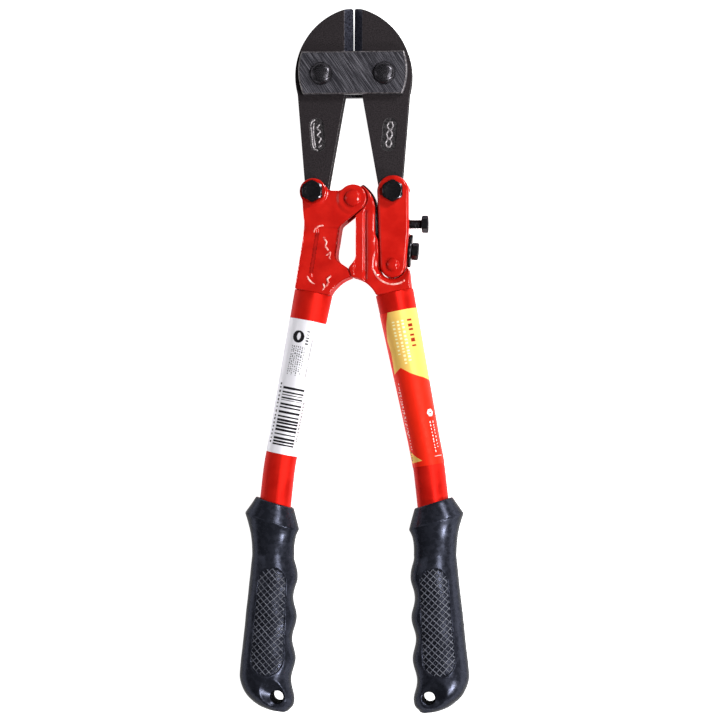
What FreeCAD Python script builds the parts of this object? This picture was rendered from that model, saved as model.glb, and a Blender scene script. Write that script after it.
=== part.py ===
import FreeCAD, Part
import math
import os

import Sketcher

# Bolt cutters, 355 mm long, lying flat with the jaws shut. Millimetres.
# X runs across the tool to the right, Y towards the jaws and Z up. The origin is under the
# middle of the tool, on the surface that it lies on.

DIMENSIONS = {
    # whole tool
    "mid_height": (14.0, "middle plane of the tool above the surface it lies on"),
    "running_gap": (0.06, "radial clearance of a pivot in its hole"),
    # cutting head
    "jaw_thickness": (11.0, "jaw forging, front to back"),
    "jaw_pivot_x": (15.9, "jaw rivet from the centre line"),
    "jaw_pivot_y": (144.1, "jaw rivet along the tool"),
    "jaw_bolt_x": (20.2, "jaw bolt from the centre line"),
    "jaw_bolt_y": (84.7, "jaw bolt along the tool"),
    "jaw_arc_radius": (35.0, "round outer edge of a jaw"),
    "tip_x": (0.4, "half of the slit between the blades at the tip"),
    "tip_y": (178.0, "tip of the jaws"),
    "tip_rounding": (1.6, "rounding at the tip corner"),
    "blade_x": (0.2, "half of the slit at the foot of the blades"),
    "blade_foot_y": (150.0, "foot of the blades, level with the straps"),
    "crotch_x": (3.6, "inner edge of a leg at its top"),
    "crotch_y": (138.3, "top of the gap between the legs"),
    "leg_inner_x": (13.2, "inner edge of a leg at the jaw bolt"),
    "leg_inner_y": (84.2, "where that edge ends"),
    "leg_outer_x": (24.2, "outer edge of a leg at the jaw bolt"),
    "shoulder_x": (28.2, "outer edge of a jaw where the arc meets the leg"),
    "shoulder_y": (134.2, "height of that shoulder"),
    "tail_radius": (5.5, "rounded end of a leg about the jaw bolt"),
    "bevel_width": (4.6, "ground bevel beside the cutting edge"),
    "edge_land": (1.0, "flat left on the cutting edge"),
    "recess_x": (18.2, "oval recess in a leg, from the centre line"),
    "recess_y": (113.5, "oval recess along the tool"),
    "recess_length": (17.0, "oval recess, length"),
    "recess_width": (7.4, "oval recess, width"),
    "recess_depth": (0.5, "oval recess, depth"),
    "recess_lean": (5.5, "lean of the recess along the leg, degrees"),
    "tail_cut": (4.5, "jaw profile ends this far below the jaw bolt, inside the rounded tail"),
    # straps and their rivets
    "strap_inner_z": (5.8, "inner face of a strap from the middle plane"),
    "strap_thickness": (4.0, "strap plate"),
    "strap_top_y": (155.3, "upper edge of the straps"),
    "strap_foot_y": (133.6, "lower edge of the straps"),
    "strap_top_x": (25.8, "half width at the upper corners"),
    "strap_foot_x": (25.0, "half width at the lower corners"),
    "strap_end_radius": (30.0, "bulging ends of the straps"),
    "rivet_rim_share": (0.45, "upright rim of a rivet head, as a share of its height"),
    "strap_chamfer": (0.4, "broken outer edge of the straps"),
    "rivet_radius": (4.0, "jaw rivet shank"),
    "rivet_head_radius": (5.85, "jaw rivet head"),
    "rivet_flat_radius": (4.0, "flat top of that head"),
    "rivet_head_height": (2.9, "height of that head"),
    # handle heads
    "head_half": (9.4, "half thickness of a handle head"),
    "slot_half": (5.8, "half width of the forks' slots"),
    "tongue_half": (5.6, "half thickness of the right head's tongue"),
    "handle_pivot_y": (81.2, "pivot of the two handles, on the centre line"),
    "boss_radius": (6.7, "boss about the left jaw bolt"),
    "knuckle_radius": (7.0, "left head about the handle pivot"),
    "collar_radius": (7.35, "right head's collar, inside"),
    "tongue_radius": (6.4, "right head's tongue about the handle pivot"),
    "loose_hole_radius": (4.25, "left jaw's bolt hole, loose because the linkage is opened there"),
    "handle_rivet_radius": (3.5, "handle pivot rivet, shank"),
    "handle_rivet_head": (4.3, "handle pivot rivet, head radius"),
    "handle_rivet_rise": (2.4, "handle pivot rivet, head height"),
    "arch_radius": (17.0, "arch between the handles under the stops"),
    "stop_gap": (0.3, "gap between the closed stops"),
    "stop_foot_x": (-0.8, "foot of the stops' faces, from the centre line"),
    "stop_foot_y": (41.6, "foot of the stops' faces, along the tool"),
    "stop_top_x": (-2.4, "top of the stops' faces, from the centre line"),
    "stop_top_y": (46.1, "top of the stops' faces, along the tool"),
    "window_foot_x": (-8.9, "lower corner of the window between the heads"),
    "window_foot_y": (50.3, "that corner, along the tool"),
    "window_foot_round": (4.5, "rounding of that corner"),
    "window_top_x": (-6.3, "upper corner of the window between the heads"),
    "window_top_y": (67.5, "that corner, along the tool"),
    "window_top_round": (3.0, "rounding of that corner"),
    "saddle_x": (-9.0, "middle of the saddle between boss and knuckle"),
    "saddle_half": (2.7, "half length of the saddle's floor"),
    "saddle_y": (85.0, "floor of the saddle"),
    "saddle_round": (2.7, "rounding at the saddle's ends"),
    "waist_x": (-24.4, "waist of the left head's outer side"),
    "waist_y": (66.0, "that waist, along the tool"),
    "waist_round": (30.0, "rounding of that waist"),
    "jaw_slot_inner_x": (-11.0, "inner end of the slot for the left jaw"),
    "jaw_slot_foot": (7.8, "foot of that slot below the jaw bolt"),
    "arm_inner_x": (1.45, "inner side of the right head's arm"),
    "arm_foot_y": (50.8, "where that side turns in to the stop"),
    "arm_foot_round": (6.0, "rounding of that turn"),
    "arm_top_y": (72.3, "where that side meets the collar"),
    "arm_outer_x": (11.1, "outer side of the arm"),
    "arm_outer_foot_y": (63.5, "lower end of the arm's outer side"),
    "arm_outer_top_y": (76.0, "upper end of the arm's outer side"),
    "arm_top_radius": (14.0, "round top of the arm"),
    "collar_wall": (0.5, "collar's wall at its free end"),
    "arm_waist_x": (12.7, "arm beside the pin's pocket"),
    "arm_waist_y": (59.5, "that place along the tool"),
    "elbow_x": (27.9, "outer corner of the right head beside the link's foot"),
    "pocket_mouth": (14.0, "the pin's pocket opens this far below the pin, degrees"),
    "core_stop_x": (25.9, "outer face of the core, which the lock bolt is screwed into"),
    "core_stop_y": (60.0, "upper end of that face"),
    "core_face_x": (17.9, "face of the core that the adjusting screw meets"),
    "core_face_foot_y": (63.5, "lower end of that face"),
    "core_face_top_y": (72.5, "upper end of that face"),
    "core_round": (1.5, "rounding of the core's corners"),
    "core_top_x": (12.4, "outer side of the core beside the arm's top"),
    "core_top_y": (74.5, "upper end of that side"),
    "core_top_radius": (16.0, "round top of the core"),
    "core_tip_radius": (8.7, "end of that round top, from the handle pivot"),
    "core_root_x": (-1.5, "the core's root inside the collar"),
    "groove_x": (6.3, "V-groove along the right head's arm, from the centre line"),
    "groove_width": (2.0, "V-groove at the surface"),
    "groove_depth": (1.2, "V-groove, depth"),
    "groove_foot_y": (39.5, "lower end of the groove"),
    "groove_top_y": (75.5, "upper end of the groove"),
    "jaw_slot_play": (2.3, "room about a jaw's tail in the left head's fork"),
    "tongue_slot_play": (1.0, "room about the tongue in the left head's fork"),
    # hardware of the jaw bolts
    "bolt_radius": (3.0, "jaw bolt, M6"),
    "bolt_flats": (10.0, "across flats of its head and nut"),
    "bolt_head_height": (4.0, "head height"),
    "nut_height": (4.6, "nut height"),
    "head_chamfer": (0.5, "chamfer on top of every hexagonal head"),
    # adjusting link and what is on it
    "link_half": (8.9, "half width of the folded link, outside"),
    "link_plate": (2.5, "sheet of the link's two sides"),
    "link_web": (2.2, "sheet of the link's web"),
    "link_top_radius": (8.0, "link about the right jaw bolt"),
    "link_foot_radius": (6.6, "link about its pin"),
    "link_web_top_y": (85.0, "upper end of the link's web"),
    "link_web_foot_y": (63.5, "lower end of the link's web"),
    "link_bend_radius": (1.5, "outside of the link's folds"),
    "pin_x": (20.2, "link pin from the centre line"),
    "pin_y": (47.6, "link pin along the tool"),
    "pin_radius": (2.5, "link pin, shank"),
    "pin_head_radius": (3.3, "link pin, domed head"),
    "pin_head_height": (1.7, "link pin, height of the dome"),
    "pin_pocket_radius": (7.1, "pocket in the right head about the pin"),
    "screw_y": (68.5, "adjusting screw along the tool"),
    "screw_radius": (2.45, "adjusting screw, M5"),
    "screw_tip_x": (18.2, "tip of the adjusting screw"),
    "screw_length": (16.0, "adjusting screw under its head"),
    "screw_flats": (8.0, "across flats of the M5 heads"),
    "screw_head_height": (3.5, "height of the M5 heads"),
    "lock_x": (27.76, "inner face of the lock washer"),
    "lock_y": (55.0, "centre of the lock washer"),
    "lock_tilt": (5.0, "lock bolt dips by this much to the right, degrees"),
    "lock_length": (9.0, "lock bolt in the right head"),
    "washer_radius": (8.35, "lock washer"),
    "washer_thickness": (1.5, "lock washer"),
    "washer_chamfer": (0.25, "broken rim of the lock washer"),
    # tubes
    "seam_x": (20.5, "upper end of a tube, from the centre line"),
    "seam_y": (34.07, "upper end of a tube, along the tool"),
    "handle_spread": (11.2, "lean of a closed handle, degrees"),
    "neck_half": (8.9, "half width of a head at the tube's end"),
    "tube_wall": (1.5, "tube wall"),
    "tube_top_radius": (9.7, "tube at its flared upper end"),
    "tube_radius": (8.0, "tube below the taper"),
    "taper_length": (75.0, "length of the taper"),
    "bend_start": (84.0, "where the tube starts to bend"),
    "bend_radius": (120.0, "bend of the tube"),
    "bend_angle": (5.0, "bend of the tube, degrees"),
    "tube_tail": (82.0, "straight tube below the bend"),
    "shank_length": (22.0, "head's shank pressed into the tube"),
    "left_label_start": (14.5, "left label from its tube's end"),
    "left_label_length": (68.5, "length of the left label"),
    "right_label_start": (9.8, "right label from its tube's end"),
    "right_label_length": (79.0, "length of the right label"),
    "label_thickness": (0.12, "label film"),
    "label_gap": (0.02, "air between a label and its tube"),
    # grips
    "grip_end_y": (-178.0, "lower end of the grips"),
    "grip_outer_x": (58.2, "widest place of the grips, from the centre line"),
    "grip_belly_y": (-157.8, "where a grip is widest"),
    "grip_outer_slope": (0.108, "slope of a grip's outer side above that place"),
    "grip_corner_drop": (22.0, "outer corner at the grip's end, across"),
    "grip_corner_rise": (19.7, "outer corner at the grip's end, along"),
    "grip_inner_x": (29.3, "mean inner side of a grip, level with the first finger crest"),
    "grip_inner_slope": (0.026, "slope of that inner side"),
    "grip_inner_corner": (5.7, "inner corner at the grip's end, along"),
    "grip_end_round": (12.5, "length over which a grip's thickness falls away at its end"),
    "grip_half_depth": (12.6, "half thickness of a grip"),
    "neck_half_depth": (11.0, "half thickness of the neck under the hood"),
    "neck_y": (-98.5, "neck of a grip, above the finger crests"),
    "finger_crest_y": (-109.0, "first finger crest"),
    "finger_pitch": (20.8, "pitch of the finger crests"),
    "finger_rise": (1.0, "crests above and valleys below the inner side's line"),
    "hood_lean": (17.0, "lean of the hood's rims, degrees"),
    "hood_rim_x": (40.0, "upper rim of the hood, from the centre line"),
    "hood_rim_y": (-71.7, "upper rim of the hood, along the tool"),
    "hood_rim_radius": (10.1, "hood at its upper rim"),
    "hood_wide_x": (41.45, "widest ring of the hood, from the centre line"),
    "hood_wide_y": (-81.35, "widest ring of the hood, along the tool"),
    "hood_wide_radius": (14.6, "hood where it is widest, across"),
    "hood_half_depth": (14.0, "hood where it is widest, half thickness"),
    "hood_hollow": (2.6, "how fast the hood's underside draws in, as a power"),
    "hang_hole_x": (38.1, "hang hole from the centre line"),
    "hang_hole_y": (-169.1, "hang hole along the tool"),
    "hang_hole_radius": (2.9, "hang hole"),
    "hang_hole_length": (16.0, "straight wall of the hang hole"),
    "hang_dish_radius": (7.7, "dished mouth of the hang hole"),
    "hang_dish_depth": (6.0, "height of the cone that cuts that mouth"),
}

doc = FreeCAD.newDocument("bolt_cutters")
sheet = doc.addObject("Spreadsheet::Sheet", "Dims")
for row, (alias, (value, meaning)) in enumerate(DIMENSIONS.items(), 1):
    sheet.set(f"A{row}", meaning)
    sheet.set(f"B{row}", str(value))
    sheet.setAlias(f"B{row}", alias)
doc.recompute()


def value(expression):
    """The number that an expression on the sheet gives."""
    return float(sheet.evalExpression(str(expression)))


def dim(alias):
    return value(f"Dims.{alias}")


def mirrored(side, x):
    """An X expression on the right (side 1) or left (side -1) of the centre line."""
    return f"{side} * ({x})"


ALONG_X = FreeCAD.Rotation(FreeCAD.Vector(0, 1, 0), 90)


# ---------------------------------------------------------------- sketches and bodies


def new_body(label):
    body = doc.addObject("PartDesign::Body", label)
    body.Label = label
    body.setExpression("Placement.Base.z", "Dims.mid_height")
    return body


def new_sketch(body, name, plane="XY_Plane", height=None):
    """A sketch on one of the body's own origin planes, raised by an expression."""
    sketch = body.newObject("Sketcher::SketchObject", name)
    support = next(o for o in body.Origin.OriginFeatures if o.Role == plane)
    sketch.AttachmentSupport = [(support, "")]
    sketch.MapMode = "FlatFace"
    if height is not None:
        sketch.setExpression("AttachmentOffset.Base.z", height)
    return sketch


def fix_point(sketch, geometry, point, x, y):
    """Hold a sketch point at two expressions."""
    for kind, expression, axis in (("DistanceX", x, -2), ("DistanceY", y, -1)):
        number = value(expression)
        if abs(number) < 1e-9:
            sketch.addConstraint(Sketcher.Constraint("PointOnObject", geometry, point, axis))
            continue
        index = sketch.addConstraint(Sketcher.Constraint(kind, -1, 1, geometry, point, number))
        sketch.setExpression(f"Constraints[{index}]", str(expression))


def fix_radius(sketch, geometry, radius):
    index = sketch.addConstraint(Sketcher.Constraint("Radius", geometry, value(radius)))
    sketch.setExpression(f"Constraints[{index}]", str(radius))


def circle(sketch, x, y, radius):
    centre = FreeCAD.Vector(value(x), value(y), 0)
    geometry = sketch.addGeometry(Part.Circle(centre, FreeCAD.Vector(0, 0, 1), value(radius)))
    fix_point(sketch, geometry, 3, x, y)
    fix_radius(sketch, geometry, radius)


def rounded_corner(before, corner, after, radius):
    """Tangent points and centre of the arc that rounds a corner."""
    into = (before - corner).normalize()
    out = (after - corner).normalize()
    half = math.acos(max(-1.0, min(1.0, into.dot(out)))) / 2
    reach = radius / math.tan(half)
    centre = corner + (into + out).normalize() * (radius / math.sin(half))
    return corner + into * reach, corner + out * reach, centre


def arc_geometry(start, end, centre, turns_left):
    """An arc from start to end, and which of its ends is the start."""
    first, last = (start, end) if turns_left else (end, start)
    angles = [math.atan2(p.y - centre.y, p.x - centre.x) for p in (first, last)]
    if angles[1] < angles[0]:
        angles[1] += 2 * math.pi
    radius = (start - centre).Length
    ring = Part.Circle(centre, FreeCAD.Vector(0, 0, 1), radius)
    return Part.ArcOfCircle(ring, *angles), (1, 2) if turns_left else (2, 1)


def outline(sketch, corners):
    """Draw a closed outline. A corner is (x, y), or (x, y, rounding). ("left", r) or
    ("right", r) after a corner makes the edge that leaves it an arc of radius r with its
    centre on that side."""
    points, roundings, arcs = [], [], []
    for item in corners:
        if item[0] in ("left", "right"):
            arcs[-1] = item
            continue
        points.append(item[:2])
        roundings.append(item[2] if len(item) > 2 else None)
        arcs.append(None)
    places = [FreeCAD.Vector(value(x), value(y), 0) for x, y in points]
    count = len(places)
    starts, ends, fillets = list(places), list(places), {}
    for i, rounding in enumerate(roundings):
        if rounding is not None:
            before, after = places[i - 1], places[(i + 1) % count]
            arrive, leave, centre = rounded_corner(before, places[i], after, value(rounding))
            ends[i], starts[i] = arrive, leave
            fillets[i] = (arrive, leave, centre)
    edges = []
    for i in range(count):
        begin, finish = starts[i], ends[(i + 1) % count]
        if arcs[i] is None:
            edges.append((sketch.addGeometry(Part.LineSegment(begin, finish)), 1, 2))
            continue
        hand, radius = arcs[i]
        chord = finish - begin
        rise = math.sqrt(value(radius) ** 2 - (chord.Length / 2) ** 2)
        normal = FreeCAD.Vector(-chord.y, chord.x, 0).normalize()
        centre = (begin + finish) * 0.5 + normal * (rise if hand == "left" else -rise)
        arc, (first, last) = arc_geometry(begin, finish, centre, hand == "left")
        edge = sketch.addGeometry(arc)
        edges.append((edge, first, last))
        fix_radius(sketch, edge, radius)
    for i in range(count):
        arriving, leaving = edges[i - 1], edges[i]
        x, y = points[i]
        if i not in fillets:
            sketch.addConstraint(
                Sketcher.Constraint("Coincident", arriving[0], arriving[2], leaving[0], leaving[1])
            )
            fix_point(sketch, leaving[0], leaving[1], x, y)
            continue
        arrive, leave, centre = fillets[i]
        cross = (places[i] - arrive).cross(leave - places[i]).z
        arc, (first, last) = arc_geometry(arrive, leave, centre, cross > 0)
        fillet = sketch.addGeometry(arc)
        vertex = sketch.addGeometry(Part.Point(places[i]), True)
        for constraint in (
            Sketcher.Constraint("Tangent", arriving[0], arriving[2], fillet, first),
            Sketcher.Constraint("Tangent", fillet, last, leaving[0], leaving[1]),
            Sketcher.Constraint("PointOnObject", vertex, 1, arriving[0]),
            Sketcher.Constraint("PointOnObject", vertex, 1, leaving[0]),
        ):
            sketch.addConstraint(constraint)
        fix_radius(sketch, fillet, roundings[i])
        fix_point(sketch, vertex, 1, x, y)


def extrude(body, kind, sketch, length, symmetric=True, reverse=False):
    """Pad or pocket a sketch."""
    feature = body.newObject(f"PartDesign::{kind}", f"{sketch.Name}_{kind}")
    feature.Profile = sketch
    feature.SideType = "Symmetric" if symmetric else "One side"
    feature.setExpression("Length", length)
    feature.Reversed = reverse
    sketch.Visibility = False
    return feature


def pad_outline(body, name, corners, thickness):
    sketch = new_sketch(body, name)
    outline(sketch, corners)
    return extrude(body, "Pad", sketch, thickness)


def pad_circle(body, name, x, y, radius, thickness):
    sketch = new_sketch(body, name)
    circle(sketch, x, y, radius)
    return extrude(body, "Pad", sketch, thickness)


def cut_outline(body, name, corners, thickness):
    sketch = new_sketch(body, name)
    outline(sketch, corners)
    return extrude(body, "Pocket", sketch, thickness)


def cut_circle(body, name, x, y, radius, thickness="2 * Dims.mid_height"):
    sketch = new_sketch(body, name)
    circle(sketch, x, y, radius)
    return extrude(body, "Pocket", sketch, thickness)


def dress(body, kind, name, chosen, size):
    """Fillet or chamfer the edges of the body's last feature that a test chooses."""
    doc.recompute()
    base = body.Tip
    names = [f"Edge{i}" for i, edge in enumerate(base.Shape.Edges, 1) if chosen(edge)]
    if not names:
        raise RuntimeError(f"{name}: no edge to dress")
    feature = body.newObject(f"PartDesign::{kind}", name)
    feature.Base = (base, names)
    feature.setExpression("Radius" if kind == "Fillet" else "Size", size)
    return feature


def spans(edge, axis):
    """How far an edge runs along an axis."""
    return getattr(edge.BoundBox, f"{axis}Length")


def lies_at(edge, z):
    return spans(edge, "Z") < 0.01 and abs(edge.BoundBox.ZMin - z) < 0.01


# ---------------------------------------------------------------- cutting head


def jaw(label, side, hole_radius):
    """One jaw: round blade head, straight leg and a rounded tail about the jaw bolt."""
    body = new_body(label)
    profile = [
        (mirrored(side, "Dims.tip_x"), "Dims.tip_y"),
        (mirrored(side, "Dims.blade_x"), "Dims.blade_foot_y"),
        (mirrored(side, "Dims.crotch_x"), "Dims.crotch_y"),
        (mirrored(side, "Dims.leg_inner_x"), "Dims.leg_inner_y"),
        (mirrored(side, "Dims.jaw_bolt_x - 3"), "Dims.jaw_bolt_y - Dims.tail_cut"),
        (mirrored(side, "Dims.jaw_bolt_x + 3"), "Dims.jaw_bolt_y - Dims.tail_cut"),
        (mirrored(side, "Dims.leg_outer_x"), "Dims.jaw_bolt_y"),
        (mirrored(side, "Dims.shoulder_x"), "Dims.shoulder_y"),
        ("left" if side > 0 else "right", "Dims.jaw_arc_radius"),
    ]
    pad_outline(body, f"{label}_profile", profile, "Dims.jaw_thickness")
    tail_x = mirrored(side, "Dims.jaw_bolt_x")
    pivot_x = mirrored(side, "Dims.jaw_pivot_x")
    pad_circle(
        body, f"{label}_tail", tail_x, "Dims.jaw_bolt_y", "Dims.tail_radius", "Dims.jaw_thickness"
    )
    cut_circle(body, f"{label}_bolt_hole", tail_x, "Dims.jaw_bolt_y", hole_radius)
    pivot_hole = "Dims.rivet_radius + Dims.running_gap"
    cut_circle(body, f"{label}_pivot_hole", pivot_x, "Dims.jaw_pivot_y", pivot_hole)
    for face, sign in (("front", 1), ("back", -1)):
        surface = f"{sign} * Dims.jaw_thickness / 2"
        sketch = new_sketch(body, f"{label}_{face}_recess", height=surface)
        outline(sketch, oval(side))
        extrude(body, "Pocket", sketch, "Dims.recess_depth", symmetric=False, reverse=sign < 0)
    bevels = new_sketch(body, f"{label}_bevels", "XZ_Plane")
    for sign in (1, -1):
        half = f"{sign} * Dims.jaw_thickness / 2"
        outline(
            bevels,
            [
                ("0", f"{sign} * Dims.edge_land / 2"),
                (mirrored(side, "Dims.bevel_width"), half),
                ("0", half),
            ],
        )
    extrude(body, "Pocket", bevels, "3 * Dims.tip_y")
    tip_x, tip_y = side * dim("tip_x"), dim("tip_y")
    dress(
        body,
        "Fillet",
        f"{label}_tip_rounding",
        lambda e: spans(e, "Z") > 0.5 and e.BoundBox.YMin > tip_y - 0.01
        and abs(e.BoundBox.XMin - tip_x) < 0.01 and abs(e.BoundBox.XMax - tip_x) < 0.01,
        "Dims.tip_rounding / 2",
    )
    return body


def oval(side):
    """The oval recess of a leg, leaning with it."""
    corners = []
    lean = f"{side} * Dims.recess_lean"
    for across, along in ((-1, -1), (1, -1), (1, 1), (-1, 1)):
        u = f"({across} * Dims.recess_width / 2)"
        v = f"({along} * Dims.recess_length / 2)"
        x = f"{mirrored(side, 'Dims.recess_x')} + {u} * cos({lean}) + {v} * sin({lean})"
        y = f"Dims.recess_y - {u} * sin({lean}) + {v} * cos({lean})"
        corners.append((x, y, "Dims.recess_width / 2 - 0.05"))
    return corners


def strap(label, sign):
    """A strap plate that ties the two jaw pivots together, in front or behind."""
    body = new_body(label)
    inner = "Dims.strap_inner_z" if sign > 0 else "-Dims.strap_inner_z"
    plate = new_sketch(body, f"{label}_plate", height=inner)
    outline(
        plate,
        [
            ("-Dims.strap_foot_x", "Dims.strap_foot_y"),
            ("Dims.strap_foot_x", "Dims.strap_foot_y"),
            ("left", "Dims.strap_end_radius"),
            ("Dims.strap_top_x", "Dims.strap_top_y"),
            ("-Dims.strap_top_x", "Dims.strap_top_y"),
            ("left", "Dims.strap_end_radius"),
        ],
    )
    for side in (-1, 1):
        circle(plate, mirrored(side, "Dims.jaw_pivot_x"), "Dims.jaw_pivot_y", "Dims.rivet_radius")
    extrude(body, "Pad", plate, "Dims.strap_thickness", symmetric=False, reverse=sign < 0)
    outer = sign * (dim("strap_inner_z") + dim("strap_thickness"))
    dress(
        body,
        "Chamfer",
        f"{label}_edges",
        lambda e: lies_at(e, outer) and spans(e, "Y") + spans(e, "X") > 18,
        "Dims.strap_chamfer",
    )
    return body


def revolved_rivet(label, x, y, half_profile):
    """A rivet turned about its own axis; the profile is (radius, height) from the axis out."""
    body = new_body(label)
    body.setExpression("Placement.Base.x", x)
    body.setExpression("Placement.Base.y", y)
    sketch = new_sketch(body, f"{label}_profile", "XZ_Plane")
    outline(sketch, half_profile)
    feature = body.newObject("PartDesign::Revolution", f"{label}_turned")
    feature.Profile = sketch
    feature.ReferenceAxis = (sketch, ["V_Axis"])
    feature.Angle = 360
    return body


def headed_profile(shank, seat, head, flat, height):
    """Half profile of a rivet with a bevelled head at each end."""
    half = [
        ("0", f"{seat} + {height}"),
        (flat, f"{seat} + {height}"),
        (head, f"{seat} + {height} * Dims.rivet_rim_share"),
        (head, seat),
        (shank, seat),
    ]
    lower = [(x, f"-({z})") for x, z in reversed(half)]
    return half + lower


# ---------------------------------------------------------------- handle heads


def seam_corner(side, across):
    """A corner of a head at the tube's upper end; across is 1 outside, -1 inside."""
    x = f"Dims.seam_x + {across} * Dims.neck_half * cos(Dims.handle_spread)"
    y = f"Dims.seam_y + {across} * Dims.neck_half * sin(Dims.handle_spread)"
    return mirrored(side, x), y


def shank(body, side):
    """The tapered shank that is pressed into the tube."""
    slope = "(Dims.tube_top_radius - Dims.tube_radius) / Dims.taper_length"
    bore = "Dims.tube_top_radius - Dims.tube_wall"
    cone = body.newObject("PartDesign::AdditiveCone", f"{body.Name}_shank")
    cone.setExpression("Radius1", bore)
    cone.setExpression("Radius2", f"{bore} - {slope} * Dims.shank_length")
    cone.setExpression("Height", "Dims.shank_length")
    cone.Placement = handle_frame(side, 0) * FreeCAD.Placement(
        FreeCAD.Vector(0, 0, 0), FreeCAD.Rotation(FreeCAD.Vector(1, 0, 0), 90)
    )
    return cone


def handle_frame(side, height):
    """The frame of a tube: its upper end, with -Y running down the handle."""
    base = FreeCAD.Vector(side * dim("seam_x"), dim("seam_y"), height)
    turn = FreeCAD.Rotation(FreeCAD.Vector(0, 0, 1), side * dim("handle_spread"))
    return FreeCAD.Placement(base, turn)


def on_circle(x, y, radius, degrees):
    """A point on a circle, as two expressions."""
    return f"{x} + {radius} * cos({degrees})", f"{y} + {radius} * sin({degrees})"


def left_head():
    """Forged fork: two ears about the left jaw's tail and about the right head's tongue."""
    body = new_body("left_handle_head")
    thick = "2 * Dims.head_half"
    bolt_x, pivot_y, knuckle = "-Dims.jaw_bolt_x", "Dims.handle_pivot_y", "Dims.knuckle_radius"
    pad_outline(
        body,
        "left_head_plate",
        [
            seam_corner(-1, 1),
            seam_corner(-1, -1),
            ("right", "Dims.arch_radius"),
            ("Dims.stop_foot_x - Dims.stop_gap / 2", "Dims.stop_foot_y"),
            ("Dims.stop_top_x - Dims.stop_gap / 2", "Dims.stop_top_y"),
            ("Dims.window_foot_x", "Dims.window_foot_y", "Dims.window_foot_round"),
            ("Dims.window_top_x", "Dims.window_top_y", "Dims.window_top_round"),
            on_circle("0", pivot_y, knuckle, -60),
            on_circle("0", pivot_y, knuckle, 120),
            ("Dims.saddle_x + Dims.saddle_half", "Dims.saddle_y", "Dims.saddle_round"),
            ("Dims.saddle_x - Dims.saddle_half", "Dims.saddle_y", "Dims.saddle_round"),
            on_circle(bolt_x, "Dims.jaw_bolt_y", "Dims.boss_radius", 50),
            on_circle(bolt_x, "Dims.jaw_bolt_y", "Dims.boss_radius", 130),
            on_circle(bolt_x, "Dims.jaw_bolt_y", "Dims.boss_radius", 218),
            ("Dims.waist_x", "Dims.waist_y", "Dims.waist_round"),
        ],
        thick,
    )
    pad_circle(body, "left_head_boss", bolt_x, "Dims.jaw_bolt_y", "Dims.boss_radius", thick)
    pad_circle(body, "left_head_knuckle", "0", pivot_y, knuckle, thick)
    # The slots run out well past the head on their open sides.
    slot, clear = "2 * Dims.slot_half", "2 * Dims.boss_radius"
    jaw_slot = [
        ("Dims.jaw_slot_inner_x", "Dims.jaw_bolt_y - Dims.jaw_slot_play"),
        ("Dims.jaw_slot_inner_x", f"Dims.jaw_bolt_y + {clear}"),
        (f"{bolt_x} - {clear}", f"Dims.jaw_bolt_y + {clear}"),
        (f"{bolt_x} - {clear}", "Dims.jaw_bolt_y"),
        (bolt_x, "Dims.jaw_bolt_y - Dims.jaw_slot_foot"),
    ]
    cut_outline(body, "left_head_jaw_slot", jaw_slot, slot)
    room = "Dims.tail_radius + Dims.jaw_slot_play"
    cut_circle(body, "left_head_tail_room", bolt_x, "Dims.jaw_bolt_y", room, slot)
    tongue_slot = [
        ("-Dims.knuckle_radius / 2", f"{pivot_y} - 3 * {knuckle}"),
        (f"3 * {knuckle}", f"{pivot_y} - 3 * {knuckle}"),
        (f"3 * {knuckle}", f"{pivot_y} + 2 * {knuckle}"),
        ("-Dims.knuckle_radius / 2", f"{pivot_y} + 2 * {knuckle}"),
    ]
    cut_outline(body, "left_head_tongue_slot", tongue_slot, slot)
    room = "Dims.tongue_radius + Dims.tongue_slot_play"
    cut_circle(body, "left_head_tongue_room", "0", pivot_y, room, slot)
    cut_circle(body, "left_head_bolt_hole", bolt_x, "Dims.jaw_bolt_y", "Dims.bolt_radius")
    cut_circle(body, "left_head_rivet_hole", "0", pivot_y, "Dims.handle_rivet_radius")
    shank(body, -1)
    return body


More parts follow.
